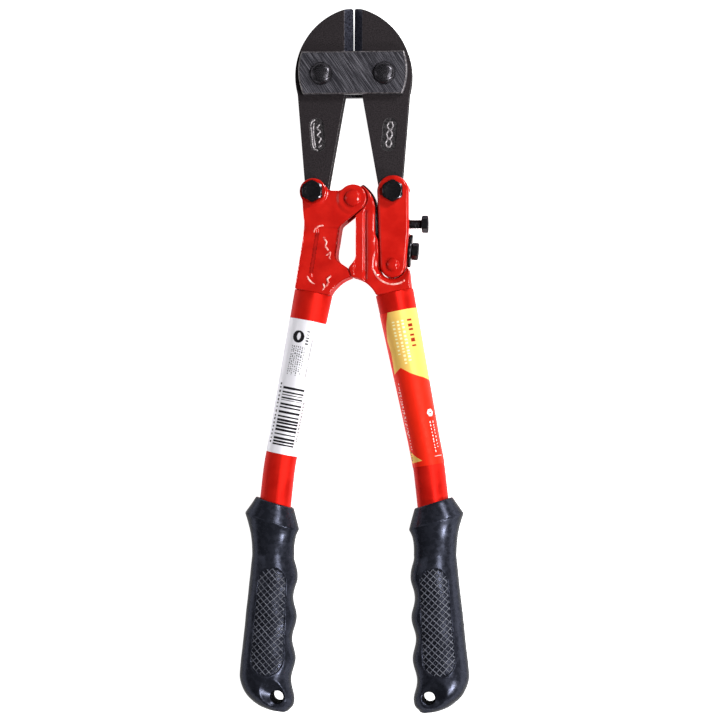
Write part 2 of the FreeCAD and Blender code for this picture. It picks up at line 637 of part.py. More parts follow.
def right_head():
    """Forged arm with a tongue at the handle pivot, and a core that the link straddles."""
    body = new_body("right_handle_head")
    pin_x, pin_y, pocket = "Dims.pin_x", "Dims.pin_y", "Dims.pin_pocket_radius"
    pivot_y, collar = "Dims.handle_pivot_y", "Dims.collar_radius"
    arm_outer = "Dims.arm_outer_x"
    mouth_x, mouth_y = on_circle(pin_x, pin_y, pocket, "-Dims.pocket_mouth")
    pad_outline(
        body,
        "right_head_plate",
        [
            ("Dims.arm_inner_x", "Dims.arm_top_y"),
            ("Dims.arm_inner_x", "Dims.arm_foot_y", "Dims.arm_foot_round"),
            ("Dims.stop_top_x + Dims.stop_gap / 2", "Dims.stop_top_y"),
            ("Dims.stop_foot_x + Dims.stop_gap / 2", "Dims.stop_foot_y"),
            ("right", "Dims.arch_radius"),
            seam_corner(1, -1),
            seam_corner(1, 1),
            ("Dims.elbow_x", mouth_y),
            (mouth_x, mouth_y),
            ("right", pocket),
            (f"{pin_x} - {pocket}", pin_y),
            ("Dims.arm_waist_x", "Dims.arm_waist_y"),
            (arm_outer, "Dims.arm_outer_foot_y"),
            (arm_outer, "Dims.arm_outer_top_y"),
            ("left", "Dims.arm_top_radius"),
            on_circle("0", pivot_y, f"({collar} + Dims.collar_wall)", 57),
            on_circle("0", pivot_y, collar, 57),
            ("right", collar),
            on_circle("0", pivot_y, collar, -55),
        ],
        "2 * Dims.head_half",
    )
    core = "2 * Dims.tongue_half"
    pad_outline(
        body,
        "right_head_core",
        [
            ("Dims.arm_inner_x", "Dims.arm_waist_y"),
            ("Dims.arm_waist_x", "Dims.stop_top_y"),
            (pin_x, "Dims.stop_foot_y"),
            ("Dims.core_stop_x", f"{pin_y} - Dims.pin_radius"),
            ("Dims.core_stop_x", "Dims.core_stop_y", "Dims.core_round"),
            ("Dims.core_face_x", "Dims.core_face_foot_y", "Dims.core_round"),
            ("Dims.core_face_x", "Dims.core_face_top_y", "Dims.core_round"),
            ("Dims.core_top_x", "Dims.core_top_y"),
            ("left", "Dims.core_top_radius"),
            on_circle("0", pivot_y, "Dims.core_tip_radius", 55),
            on_circle("0", pivot_y, "Dims.tongue_radius", 62),
            ("Dims.core_root_x", pivot_y),
            ("Dims.core_root_x", f"{pivot_y} - Dims.knuckle_radius / 2"),
            ("Dims.arm_inner_x", "Dims.arm_top_y"),
        ],
        core,
    )
    pad_circle(body, "right_head_tongue", "0", pivot_y, "Dims.tongue_radius", core)
    tongue_hole = "Dims.handle_rivet_radius + Dims.running_gap"
    cut_circle(body, "right_head_rivet_hole", "0", pivot_y, tongue_hole)
    cut_circle(body, "right_head_pin_hole", pin_x, pin_y, "Dims.pin_radius + Dims.running_gap")
    for face, sign in (("front", 1), ("back", -1)):
        arm_groove(body, face, sign)
    shank(body, 1)
    tapped = body.newObject("PartDesign::SubtractiveCylinder", "right_head_tapped_hole")
    tapped.setExpression("Radius", "Dims.screw_radius + Dims.running_gap")
    tapped.setExpression("Height", "Dims.lock_length + 2")
    tapped.Placement = lock_frame(0) * FreeCAD.Placement(
        FreeCAD.Vector(-dim("lock_length") - 1, 0, 0), ALONG_X
    )
    return body


def arm_groove(body, face, sign):
    """The V-groove along the arm of the right head."""
    sketch = new_sketch(body, f"right_head_{face}_groove", "XZ_Plane")
    surface = f"{sign} * Dims.head_half"
    bottom = f"{sign} * (Dims.head_half - Dims.groove_depth)"
    edges = [f"Dims.groove_x {way} Dims.groove_width / 2" for way in "-+"]
    outline(sketch, [(edges[0], surface), ("Dims.groove_x", bottom), (edges[1], surface)])
    # This plane looks along -Y.
    middle = "-(Dims.groove_foot_y + Dims.groove_top_y) / 2"
    sketch.setExpression("AttachmentOffset.Base.z", middle)
    extrude(body, "Pocket", sketch, "Dims.groove_top_y - Dims.groove_foot_y")


def lock_frame(height):
    """The lock bolt's frame: the washer's inner face, with X running out along the bolt."""
    base = FreeCAD.Vector(dim("lock_x"), dim("lock_y"), height)
    return FreeCAD.Placement(base, FreeCAD.Rotation(FreeCAD.Vector(0, 0, 1), -dim("lock_tilt")))


# ---------------------------------------------------------------- bolts, nuts and the link


def primitive(body, kind, name, sizes, placement):
    """An additive primitive of a body, with its sizes bound to the sheet."""
    feature = body.newObject(f"PartDesign::Additive{kind}", name)
    for prop, expression in sizes.items():
        feature.setExpression(prop, expression)
    feature.Placement = placement
    return feature


def up(z):
    return FreeCAD.Placement(FreeCAD.Vector(0, 0, z), FreeCAD.Rotation())


def hexagon(body, name, flats, height, z):
    """A hexagonal head or nut, with two of its corners on the local Y axis."""
    sizes = {"Circumradius": f"{flats} / (2 * cos(30))", "Height": height}
    feature = primitive(body, "Prism", name, sizes, up(z))
    feature.Polygon = 6
    feature.Placement.Rotation = FreeCAD.Rotation(FreeCAD.Vector(0, 0, 1), 30)
    return feature


def hex_bolt(label, flats, head_height, radius, length, head_z):
    """A bolt that points down its own -Z axis, with its head on top at head_z."""
    body = doc.addObject("PartDesign::Body", label)
    body.Label = label
    hexagon(body, f"{label}_head", flats, head_height, head_z)
    sizes = {"Radius": radius, "Height": length}
    primitive(body, "Cylinder", f"{label}_shank", sizes, up(head_z - value(length)))
    top = head_z + value(head_height)
    dress(body, "Chamfer", f"{label}_chamfer", lambda e: lies_at(e, top), "Dims.head_chamfer")
    return body


def jaw_bolt(label, side, seat):
    """M6 bolt through a jaw's tail; its end is flush with the nut behind."""
    length = f"2 * {seat} + Dims.nut_height"
    height = "Dims.bolt_head_height"
    body = hex_bolt(label, "Dims.bolt_flats", height, "Dims.bolt_radius", length, value(seat))
    body.setExpression("Placement.Base.x", mirrored(side, "Dims.jaw_bolt_x"))
    body.setExpression("Placement.Base.y", "Dims.jaw_bolt_y")
    body.setExpression("Placement.Base.z", "Dims.mid_height")


def jaw_nut(label, side, seat):
    body = new_body(label)
    foot = -value(seat) - dim("nut_height")
    hexagon(body, f"{label}_hexagon", "Dims.bolt_flats", "Dims.nut_height", foot)
    cut_circle(body, f"{label}_bore", "0", "0", "Dims.bolt_radius")
    body.setExpression("Placement.Base.x", mirrored(side, "Dims.jaw_bolt_x"))
    body.setExpression("Placement.Base.y", "Dims.jaw_bolt_y")


def adjusting_link():
    """Folded sheet link: two side plates about the right jaw's tail, joined by a web."""
    body = new_body("adjusting_link")
    width = "2 * Dims.link_half"
    edge_x = "Dims.jaw_bolt_x + Dims.link_top_radius"
    pad_outline(
        body,
        "link_plate",
        [
            ("Dims.jaw_bolt_x - Dims.link_top_radius", "Dims.jaw_bolt_y"),
            ("Dims.pin_x - Dims.link_foot_radius", "Dims.pin_y"),
            ("Dims.pin_x + Dims.link_foot_radius", "Dims.pin_y"),
            (edge_x, "Dims.link_web_foot_y"),
            (edge_x, "Dims.jaw_bolt_y"),
        ],
        width,
    )
    pad_circle(body, "link_top", "Dims.jaw_bolt_x", "Dims.jaw_bolt_y", "Dims.link_top_radius", width)
    pad_circle(body, "link_foot", "Dims.pin_x", "Dims.pin_y", "Dims.link_foot_radius", width)
    inner_x = f"{edge_x} - Dims.link_web"
    # The cutter between the plates runs out past the link all round, but for the web.
    outside, below, above = "2 * Dims.jaw_bolt_x", "Dims.pin_y / 2", "1.5 * Dims.jaw_bolt_y"
    inside = [
        (inner_x, "Dims.link_web_foot_y"),
        (outside, "Dims.link_web_foot_y"),
        (outside, below),
        ("0", below),
        ("0", above),
        (outside, above),
        (outside, "Dims.link_web_top_y"),
        (inner_x, "Dims.link_web_top_y"),
    ]
    cut_outline(body, "link_inside", inside, f"{width} - 2 * Dims.link_plate")
    cut_circle(body, "link_bolt_hole", "Dims.jaw_bolt_x", "Dims.jaw_bolt_y", "Dims.bolt_radius")
    cut_circle(body, "link_pin_hole", "Dims.pin_x", "Dims.pin_y", "Dims.pin_radius")
    tapped = body.newObject("PartDesign::SubtractiveCylinder", "link_tapped_hole")
    tapped.setExpression("Radius", "Dims.screw_radius + Dims.running_gap")
    tapped.setExpression("Height", "2 * Dims.link_web")
    reach = value(inner_x) - dim("link_web") / 2
    tapped.Placement = FreeCAD.Placement(FreeCAD.Vector(reach, dim("screw_y"), 0), ALONG_X)
    fold_x, fold_z = value(edge_x), dim("link_half")
    dress(
        body,
        "Fillet",
        "link_folds",
        lambda e: spans(e, "Y") > 15 and spans(e, "X") < 0.01 and spans(e, "Z") < 0.01
        and abs(e.BoundBox.XMin - fold_x) < 0.01 and abs(abs(e.BoundBox.ZMin) - fold_z) < 0.01,
        "Dims.link_bend_radius",
    )
    return body


def adjusting_screw():
    """M5 screw through the link's web; its tip meets the core of the right head."""
    body = hex_bolt(
        "adjusting_screw", "Dims.screw_flats", "Dims.screw_head_height", "Dims.screw_radius",
        "Dims.screw_length", 0,
    )
    head_x = dim("screw_tip_x") + dim("screw_length")
    base = FreeCAD.Vector(head_x, dim("screw_y"), dim("mid_height"))
    body.Placement = FreeCAD.Placement(base, ALONG_X)


def lock_parts():
    """The lock bolt and its wide washer, which clamp the link to the right head."""
    bolt = hex_bolt(
        "lock_bolt", "Dims.screw_flats", "Dims.screw_head_height", "Dims.screw_radius",
        "Dims.lock_length + Dims.washer_thickness", dim("washer_thickness"),
    )
    bolt.Placement = lock_frame(dim("mid_height")) * FreeCAD.Placement(FreeCAD.Vector(), ALONG_X)
    washer = doc.addObject("PartDesign::Body", "lock_washer")
    washer.Label = "lock_washer"
    sketch = new_sketch(washer, "lock_washer_disc")
    circle(sketch, "0", "0", "Dims.washer_radius")
    circle(sketch, "0", "0", "Dims.screw_radius")
    extrude(washer, "Pad", sketch, "Dims.washer_thickness", symmetric=False)
    doc.recompute()
    rim = dim("washer_radius")
    dress(
        washer, "Chamfer", "lock_washer_edges",
        lambda e: spans(e, "Z") < 0.01 and spans(e, "X") > 1.9 * rim, "Dims.washer_chamfer",
    )
    washer.Placement = bolt.Placement


# ---------------------------------------------------------------- tubes and labels


def solid(kind, name, sizes, placement):
    """A Part primitive with its sizes bound to the sheet."""
    feature = doc.addObject(f"Part::{kind}", name)
    for prop, expression in sizes.items():
        feature.setExpression(prop, expression)
    feature.Placement = placement
    return feature


def combine(kind, name, base, tool=None):
    """A Part boolean: a cut, or a fuse of a list."""
    feature = doc.addObject(f"Part::{kind}", name)
    if tool is None:
        feature.Shapes = base
    else:
        feature.Base, feature.Tool = base, tool
    feature.Label = name
    return feature


def down(x, y, lean=0.0):
    """A local frame whose Z axis runs down the handle from (x, y), leaning by degrees."""
    turn = FreeCAD.Rotation(FreeCAD.Vector(0, 0, 1), lean)
    return FreeCAD.Placement(
        FreeCAD.Vector(x, y, 0), turn * FreeCAD.Rotation(FreeCAD.Vector(1, 0, 0), 90)
    )


def handle_rod(name, side, inset):
    """The tube's outer solid, or its bore when inset is the wall, in the tube's own frame."""
    top = f"Dims.tube_top_radius - {inset}"
    radius = f"Dims.tube_radius - {inset}"
    bend, angle, start = dim("bend_radius"), dim("bend_angle"), dim("bend_start")
    taper = {"Radius1": top, "Radius2": radius, "Height": "Dims.taper_length"}
    straight = {"Radius": radius, "Height": "Dims.bend_start - Dims.taper_length"}
    elbow = {"Radius1": "Dims.bend_radius", "Radius2": radius, "Angle3": "Dims.bend_angle"}
    tail = {"Radius": radius, "Height": "Dims.tube_tail"}
    first = -angle if side > 0 else 180
    centre = FreeCAD.Vector(-side * bend, -start, 0)
    spin = FreeCAD.Rotation(FreeCAD.Vector(0, 0, 1), first)
    turned = math.radians(angle)
    foot_x = -side * bend * (1 - math.cos(turned))
    foot_y = -start - bend * math.sin(turned)
    pieces = [
        solid("Cone", f"{name}_taper", taper, down(0, 0)),
        solid("Cylinder", f"{name}_straight", straight, down(0, -dim("taper_length"))),
        solid("Torus", f"{name}_bend", elbow, FreeCAD.Placement(centre, spin)),
        solid("Cylinder", f"{name}_tail", tail, down(foot_x, foot_y, -side * angle)),
    ]
    return combine("MultiFuse", name, pieces)


def tube(label, side):
    """Steel tube of a handle: tapered at the top, with a gentle bend above the grip."""
    outside = handle_rod(f"{label}_outside", side, "0")
    bore = handle_rod(f"{label}_bore", side, "Dims.tube_wall")
    whole = combine("Cut", label, outside, bore)
    whole.Placement = handle_frame(side, dim("mid_height"))


def label_sleeve(name, side):
    """The printed film wrapped round a tube."""
    start, length = f"Dims.{name}_start", f"Dims.{name}_length"
    outside = handle_rod(f"{name}_film", side, "-(Dims.label_gap + Dims.label_thickness)")
    inside = handle_rod(f"{name}_core", side, "-Dims.label_gap")
    wrap = combine("Cut", f"{name}_wrap", outside, inside)
    across = 4 * dim("tube_top_radius")
    corner = FreeCAD.Vector(-across / 2, -value(f"{start} + {length}"), -across / 2)
    sizes = {"Length": str(across), "Width": length, "Height": str(across)}
    stretch = solid("Box", f"{name}_stretch", sizes, FreeCAD.Placement(corner, FreeCAD.Rotation()))
    sleeve = combine("Common", name, wrap, stretch)
    sleeve.Placement = handle_frame(side, dim("mid_height"))


# ---------------------------------------------------------------- grips


def quarter(t):
    """Fall of a quarter ellipse, 0 at its start and 1 at its end."""
    return 1 - math.sqrt(max(0.0, 1 - min(1.0, max(0.0, t)) ** 2))


def grip_section(y):
    """Middle, half width and half thickness of a right-hand grip across y."""
    end, below = dim("grip_end_y"), y - dim("finger_crest_y")
    inner = dim("grip_inner_x") - dim("grip_inner_slope") * below
    inner -= dim("finger_rise") * math.cos(2 * math.pi * below / dim("finger_pitch"))
    corner = dim("grip_inner_corner")
    inner += corner * quarter((end + corner - y) / corner)
    belly = dim("grip_belly_y")
    outer = dim("grip_outer_x") - dim("grip_outer_slope") * max(0.0, y - belly)
    outer -= dim("grip_corner_drop") * quarter((belly - y) / dim("grip_corner_rise"))
    rounding = dim("grip_end_round")
    depth = dim("grip_half_depth") * (1 - quarter((end + rounding - y) / rounding))
    swell = min(1.0, max(0.0, (dim("neck_y") - y) / dim("finger_pitch")))
    depth -= (dim("grip_half_depth") - dim("neck_half_depth")) * (1 - swell) ** 2
    return (inner + outer) / 2, (outer - inner) / 2, depth


def grip_ring(name, side, x, y, half_width, half_depth, lean=0.0):
    """An ellipse across a grip, leaning by degrees."""
    ring = doc.addObject("Part::Ellipse", name)
    ring.MajorRadius = max(half_width, half_depth)
    ring.MinorRadius = min(half_width, half_depth)
    upright = FreeCAD.Rotation(FreeCAD.Vector(1, 0, 0), 90)
    swap = FreeCAD.Rotation(FreeCAD.Vector(0, 0, 1), 0 if half_width > half_depth else 90)
    tip = FreeCAD.Rotation(FreeCAD.Vector(0, 0, 1), side * lean)
    ring.Placement = FreeCAD.Placement(FreeCAD.Vector(side * x, y, 0), tip * upright * swap)
    return ring


def loft(name, rings, ruled):
    body = doc.addObject("Part::Loft", name)
    body.Sections = rings
    body.Solid = True
    body.Ruled = ruled
    return body


def hood_ring(name, side, share):
    """A ring under the hood, from its widest at share 0 to the neck at share 1."""
    neck_x, neck_width, neck_depth = grip_section(dim("neck_y"))
    keep = (1 - share) ** dim("hood_hollow")
    x = dim("hood_wide_x") + (neck_x - dim("hood_wide_x")) * share
    y = dim("hood_wide_y") + (dim("neck_y") - dim("hood_wide_y")) * share
    width = neck_width + (dim("hood_wide_radius") - neck_width) * keep
    depth = neck_depth + (dim("hood_half_depth") - neck_depth) * keep
    return grip_ring(name, side, x, y, width, depth, dim("hood_lean") * (1 - share))


def hang_hole(label, side):
    """The hang hole's straight wall and the dished mouth at each end of it."""
    where = FreeCAD.Vector(side * dim("hang_hole_x"), dim("hang_hole_y"), 0)
    bore = {"Radius": "Dims.hang_hole_radius", "Height": "4 * Dims.grip_half_depth"}
    foot = FreeCAD.Vector(0, 0, -2 * dim("grip_half_depth"))
    place = FreeCAD.Placement(where + foot, FreeCAD.Rotation())
    cutters = [solid("Cylinder", f"{label}_hang_hole", bore, place)]
    dish = {
        "Radius1": "Dims.hang_hole_radius",
        "Radius2": "2 * Dims.hang_dish_radius - Dims.hang_hole_radius",
        "Height": "Dims.hang_dish_depth",
    }
    for face, sign in (("front", 1), ("back", -1)):
        turn = FreeCAD.Rotation(FreeCAD.Vector(1, 0, 0), 0 if sign > 0 else 180)
        rise = FreeCAD.Vector(0, 0, sign * dim("hang_hole_length") / 2)
        place = FreeCAD.Placement(where + rise, turn)
        cutters.append(solid("Cone", f"{label}_dish_{face}", dish, place))
    return cutters


def grip(label, side):
    """Moulded sleeve: a flared hood, a neck and a body with four finger crests."""
    rim = grip_ring(
        f"{label}_rim", side, dim("hood_rim_x"), dim("hood_rim_y"), dim("hood_rim_radius"),
        dim("hood_rim_radius"), dim("hood_lean"),
    )
    # Rings lie close under the flare, where the hood draws in fastest.
    steps = [0.15 * i for i in range(7)] + [1.0]
    under = [hood_ring(f"{label}_hood_ring_{i}", side, share) for i, share in enumerate(steps)]
    neck, end = dim("neck_y"), dim("grip_end_y")
    fine = dim("finger_pitch") / 5.5
    stations = [neck - fine * i for i in range(int((neck - end) / fine))]
    # The last rings close up on the rounded end.
    stations += [end + rest for rest in (3.6, 1.6, 0.4)]
    rings = []
    for i, y in enumerate(stations):
        middle, half_width, half_depth = grip_section(y)
        rings.append(grip_ring(f"{label}_ring_{i}", side, middle, y, half_width, half_depth))
    pieces = [
        loft(f"{label}_hood", [rim, under[0]], True),
        loft(f"{label}_hood_foot", under, True),
        loft(f"{label}_body", rings, False),
    ]
    outside = combine("MultiFuse", f"{label}_outside", pieces)
    bore = handle_rod(f"{label}_socket", side, "0")
    bore.Placement = handle_frame(side, 0)
    tools = combine("MultiFuse", f"{label}_cutters", hang_hole(label, side) + [bore])
    whole = combine("Cut", label, outside, tools)
    whole.Placement.Base.z = dim("mid_height")


# ---------------------------------------------------------------- the tool

jaw("left_jaw", -1, "Dims.loose_hole_radius")
jaw("right_jaw", 1, "Dims.bolt_radius + Dims.running_gap")
strap("front_strap", 1)
strap("back_strap", -1)
strap_face = "(Dims.strap_inner_z + Dims.strap_thickness)"
jaw_rivet = headed_profile(
    "Dims.rivet_radius", strap_face, "Dims.rivet_head_radius", "Dims.rivet_flat_radius",
    "Dims.rivet_head_height",
)
for side_name, side_sign in (("left", -1), ("right", 1)):
    pivot_x = mirrored(side_sign, "Dims.jaw_pivot_x")
    revolved_rivet(f"{side_name}_jaw_rivet", pivot_x, "Dims.jaw_pivot_y", jaw_rivet)

left_head()
right_head()
handle_rivet = headed_profile(
    "Dims.handle_rivet_radius", "Dims.head_half", "Dims.handle_rivet_head",
    "0.8 * Dims.handle_rivet_head", "Dims.handle_rivet_rise",
)
revolved_rivet("handle_pivot_rivet", "0", "Dims.handle_pivot_y", handle_rivet)
adjusting_link()
link_pin = headed_profile(
    "Dims.pin_radius", "Dims.link_half", "Dims.pin_head_radius", "0.6 * Dims.pin_head_radius",
    "Dims.pin_head_height",
)
revolved_rivet("link_pivot_pin", "Dims.pin_x", "Dims.pin_y", link_pin)
jaw_bolt("left_jaw_bolt", -1, "Dims.head_half")
jaw_nut("left_jaw_nut", -1, "Dims.head_half")
jaw_bolt("right_jaw_bolt", 1, "Dims.link_half")
jaw_nut("right_jaw_nut", 1, "Dims.link_half")
adjusting_screw()
lock_parts()
for side_name, side_sign in (("left", -1), ("right", 1)):
    tube(f"{side_name}_tube", side_sign)
    label_sleeve(f"{side_name}_label", side_sign)
    grip(f"{side_name}_grip", side_sign)
doc.recompute()

NODES = [
    "front_strap", "back_strap", "left_jaw_rivet", "right_jaw_rivet", "left_jaw", "right_jaw",
    "left_handle_head", "right_handle_head", "handle_pivot_rivet", "adjusting_link",
    "link_pivot_pin", "left_jaw_bolt", "left_jaw_nut", "right_jaw_bolt", "right_jaw_nut",
    "adjusting_screw", "lock_bolt", "lock_washer", "left_tube", "right_tube", "left_label",
    "right_label", "left_grip", "right_grip",
]

CUTS = ("PartDesign::Pocket", "PartDesign::SubtractiveCylinder")
for thing in doc.Objects:
    if "Invalid" in thing.State or "Error" in thing.State:
        raise RuntimeError(f"{thing.Name} failed: {thing.State}")
    if thing.TypeId in CUTS and thing.Shape.Volume > thing.BaseFeature.Shape.Volume - 0.5:
        raise RuntimeError(f"{thing.Name} cuts nothing")
os.makedirs("parts", exist_ok=True)
whole_box = FreeCAD.BoundBox()
for node in NODES:
    part = doc.getObjectsByLabel(node)[0]
    shape = part.Shape
    if shape.isNull() or not shape.isValid() or len(shape.Solids) != 1:
        raise RuntimeError(f"{node} is not one valid solid")
    shape.exportStep(f"parts/{node}.step")
    whole_box.add(shape.BoundBox)
print(f"{len(NODES)} nodes, box {whole_box}")
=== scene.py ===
import math

import bpy
import numpy as np
from mathutils import Matrix, Vector
from mathutils.bvhtree import BVHTree


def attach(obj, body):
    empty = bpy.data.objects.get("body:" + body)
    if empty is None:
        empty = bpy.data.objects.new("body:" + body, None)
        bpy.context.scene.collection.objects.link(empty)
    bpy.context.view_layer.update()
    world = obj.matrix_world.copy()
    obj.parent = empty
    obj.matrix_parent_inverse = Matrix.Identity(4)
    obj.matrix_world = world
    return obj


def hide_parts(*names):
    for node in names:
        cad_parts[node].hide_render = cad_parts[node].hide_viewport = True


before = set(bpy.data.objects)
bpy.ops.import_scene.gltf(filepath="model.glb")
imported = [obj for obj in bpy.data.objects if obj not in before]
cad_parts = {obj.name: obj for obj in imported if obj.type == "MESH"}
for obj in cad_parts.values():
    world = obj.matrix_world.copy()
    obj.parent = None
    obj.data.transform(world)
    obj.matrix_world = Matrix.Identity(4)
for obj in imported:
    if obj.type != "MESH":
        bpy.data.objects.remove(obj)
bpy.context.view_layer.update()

# Bolt cutters lying flat. Shapes are worked out in millimetres, with heights from the middle
# plane of the tool; meshes are in metres.
MM = 0.001
MID = 14.0
JAW_PIVOT = (15.9, 144.1)
JAW_BOLT = (20.2, 84.7)
HANDLE_PIVOT = (0.0, 81.2)
LINK_PIN = (20.2, 47.6)
SETTING_SCREW = (34.2, 68.5)
LOCK_SEAT, LOCK_LEAN = (27.76, 55.0), -5.0
HANG_HOLE = (38.1, -169.1)
HEAD_HALF, LINK_HALF = 9.4, 8.9
ARM_FLOOR, PANEL_FLOOR, COLLAR_FLOOR = 8.5, 7.85, 8.85
M6_FLATS, M6_RADIUS, M6_PITCH = 10, 3.0, 1.0
M5_FLATS, M5_RADIUS, M5_PITCH = 8, 2.45, 0.8
ALONG_X = Matrix.Rotation(math.pi / 2, 4, "Y")


# ---------------------------------------------------------------- materials


def srgb(red, green, blue):
    """A colour from its display values, 0 to 255."""
    shares = [c / 255 for c in (red, green, blue)]
    return [c / 12.92 if c < 0.04045 else ((c + 0.055) / 1.055) ** 2.4 for c in shares]


def add_node(tree, kind, **inputs):
    """A shader node with its inputs set, or linked where a socket is given."""
    made = tree.nodes.new(f"ShaderNode{kind}")
    for key, value in inputs.items():
        socket = made.inputs[key.replace("_", " ")]
        if isinstance(value, bpy.types.NodeSocket):
            tree.links.new(value, socket)
        else:
            socket.default_value = value
    return made


def noise(tree, place, per_mm, detail=4.0, stretch=(1, 1, 1), turn=0.0):
    """Noise with so many features to the millimetre, drawn out along a direction."""
    mapping = add_node(tree, "Mapping", Vector=place)
    mapping.vector_type = "TEXTURE"
    mapping.inputs["Rotation"].default_value = (0, 0, math.radians(turn))
    mapping.inputs["Scale"].default_value = stretch
    made = add_node(
        tree, "TexNoise", Vector=mapping.outputs[0], Scale=per_mm / MM, Detail=detail
    )
    return made.outputs["Fac"]


def ramp(tree, factor, *stops):
    """A colour from a factor; each stop is (place, colour)."""
    made = add_node(tree, "ValToRGB", Fac=factor)
    for i, (place, colour) in enumerate(stops):
        element = made.color_ramp.elements[i] if i < 2 else made.color_ramp.elements.new(place)
        element.position = place
        element.color = (*colour, 1)
    return made.outputs["Color"]


def spread(tree, factor, low, high, start=0.35, end=0.65):
    """A number between low and high as the factor goes from start to end."""
    made = add_node(tree, "MapRange", Value=factor, From_Min=start, From_Max=end)
    made.inputs["To Min"].default_value = low
    made.inputs["To Max"].default_value = high
    return made.outputs["Result"]


def surface(name, dark, light, rough, mottle, reliefs, metallic=0.0, ior=1.35, rim=1.0):
    """A material whose colour and roughness follow a mottle and whose relief adds up from
    layers of (features per mm, height in mm, stretch, turn)."""
    made = bpy.data.materials.new(name)
    made.use_nodes = True
    tree = made.node_tree
    shader = tree.nodes["Principled BSDF"]
    shader.inputs["Metallic"].default_value = metallic
    shader.inputs["IOR"].default_value = ior
    shader.inputs["Specular Tint"].default_value = (rim, rim, rim, 1)
    place = add_node(tree, "TexCoord").outputs["Object"]
    clouds = noise(tree, place, *mottle)
    tree.links.new(
        ramp(tree, clouds, (0.35, dark), (0.65, light)), shader.inputs["Base Color"]
    )
    tree.links.new(spread(tree, clouds, *rough), shader.inputs["Roughness"])
    normal = None
    for per_mm, height, stretch, turn in reliefs:
        layer = noise(tree, place, per_mm, 4.0, stretch, turn)
        bump = add_node(tree, "Bump", Height=layer, Distance=height * MM)
        if normal is not None:
            tree.links.new(normal, bump.inputs["Normal"])
        normal = bump.outputs["Normal"]
    if normal is not None:
        tree.links.new(normal, shader.inputs["Normal"])
    return made


EVEN = (1, 1, 1)
RED_DARK, RED_LIGHT = srgb(190, 22, 14), srgb(206, 30, 20)
DEEP_DARK, DEEP_LIGHT = srgb(176, 19, 12), srgb(194, 27, 18)

enamel = surface(
    "red_enamel_on_forging", DEEP_DARK, DEEP_LIGHT, (0.06, 0.14), (0.12, 3.0),
    [(0.3, 0.12, EVEN, 0), (1.3, 0.04, EVEN, 0), (6, 0.003, EVEN, 0)], ior=1.42,
)
flank_enamel = surface(
    "thin_enamel_on_flanks", DEEP_DARK, DEEP_LIGHT, (0.45, 0.6), (0.12, 3.0),
    [(0.3, 0.12, EVEN, 0), (1.3, 0.05, EVEN, 0)], ior=1.1,
)
sheet_red = surface(
    "red_enamel_on_sheet", DEEP_DARK, DEEP_LIGHT, (0.1, 0.2), (0.12, 3.0),
    [(0.25, 0.05, EVEN, 0), (3, 0.003, EVEN, 0)],
)
tube_red = surface(
    "red_enamel_on_tube", RED_DARK, RED_LIGHT, (0.36, 0.5), (0.1, 3.0),
    [(0.2, 0.03, (1, 6, 1), 0), (3, 0.004, EVEN, 0)], metallic=0.4, ior=1.2, rim=0.5,
)
forging = surface(
    "blackened_forging", srgb(20, 16, 18), srgb(47, 41, 44), (0.42, 0.6), (1.9, 8.0),
    [(0.8, 0.06, EVEN, 0), (2.8, 0.11, EVEN, 0)], metallic=0.25, ior=1.3,
)
forging_flank = surface(
    "forging_flank", srgb(22, 18, 20), srgb(44, 39, 41), (0.6, 0.8), (1.9, 8.0),
    [(0.8, 0.06, EVEN, 0), (2.6, 0.09, EVEN, 0)], ior=1.08,
)
# Light steel for the raised marks in the jaws' recesses: partly rubbed steel, partly painted
# highlight.
crest_wear_and_highlight = surface(
    "crest_wear_and_highlight", srgb(96, 92, 95), srgb(196, 190, 193), (0.3, 0.45), (1.2, 5.0),
    [(4, 0.01, EVEN, 0)], metallic=0.6,
)
worn_edge = surface(
    "rubbed_edge", srgb(58, 54, 56), srgb(134, 129, 132), (0.3, 0.45), (1.2, 5.0),
    [(4, 0.01, EVEN, 0)], metallic=0.7,
)
ground = surface(
    "ground_bevel", srgb(34, 35, 44), srgb(76, 77, 90), (0.3, 0.45), (1.2, 6.0),
    [(4, 0.02, (1, 12, 1), 8), (1.5, 0.06, EVEN, 0)], metallic=0.6,
)
rivet_steel = surface(
    "rivet_steel", srgb(40, 39, 42), srgb(88, 86, 91), (0.2, 0.34), (2.6, 8.0),
    [(2.5, 0.06, EVEN, 0)], metallic=0.9, rim=0.4,
)
black_oxide = surface(
    "black_oxide", srgb(42, 41, 44), srgb(74, 72, 76), (0.13, 0.24), (2.4, 8.0),
    [(2.5, 0.02, EVEN, 0)], metallic=0.92, rim=0.3,
)
vinyl = surface(
    "black_vinyl", srgb(42, 44, 53), srgb(52, 54, 64), (0.22, 0.33), (0.4, 5.0),
    [(0.5, 0.05, EVEN, 0), (2.5, 0.012, EVEN, 0)], metallic=0.65, ior=1.3, rim=0.15,
)


def scratched_plate():
    """Dark steel plate, ground with a coarse belt that leaves slanting scratches."""
    made = surface(
        "ground_plate", srgb(40, 40, 46), srgb(60, 60, 68), (0.36, 0.5), (0.5, 5.0),
        [(3.4, 0.06, (1, 30, 1), 34), (6, 0.03, (1, 24, 1), 29)], metallic=0.5,
    )
    tree = made.node_tree
    shader = tree.nodes["Principled BSDF"]
    place = next(n for n in tree.nodes if n.type == "TEX_COORD").outputs["Object"]
    lines = noise(tree, place, 8.5, 1.0, (1, 110, 1), 34)
    dark, light = srgb(36, 35, 41), srgb(134, 132, 140)
    colour = ramp(tree, lines, (0.5, dark), (0.72, light))
    tree.links.new(colour, shader.inputs["Base Color"])
    return made


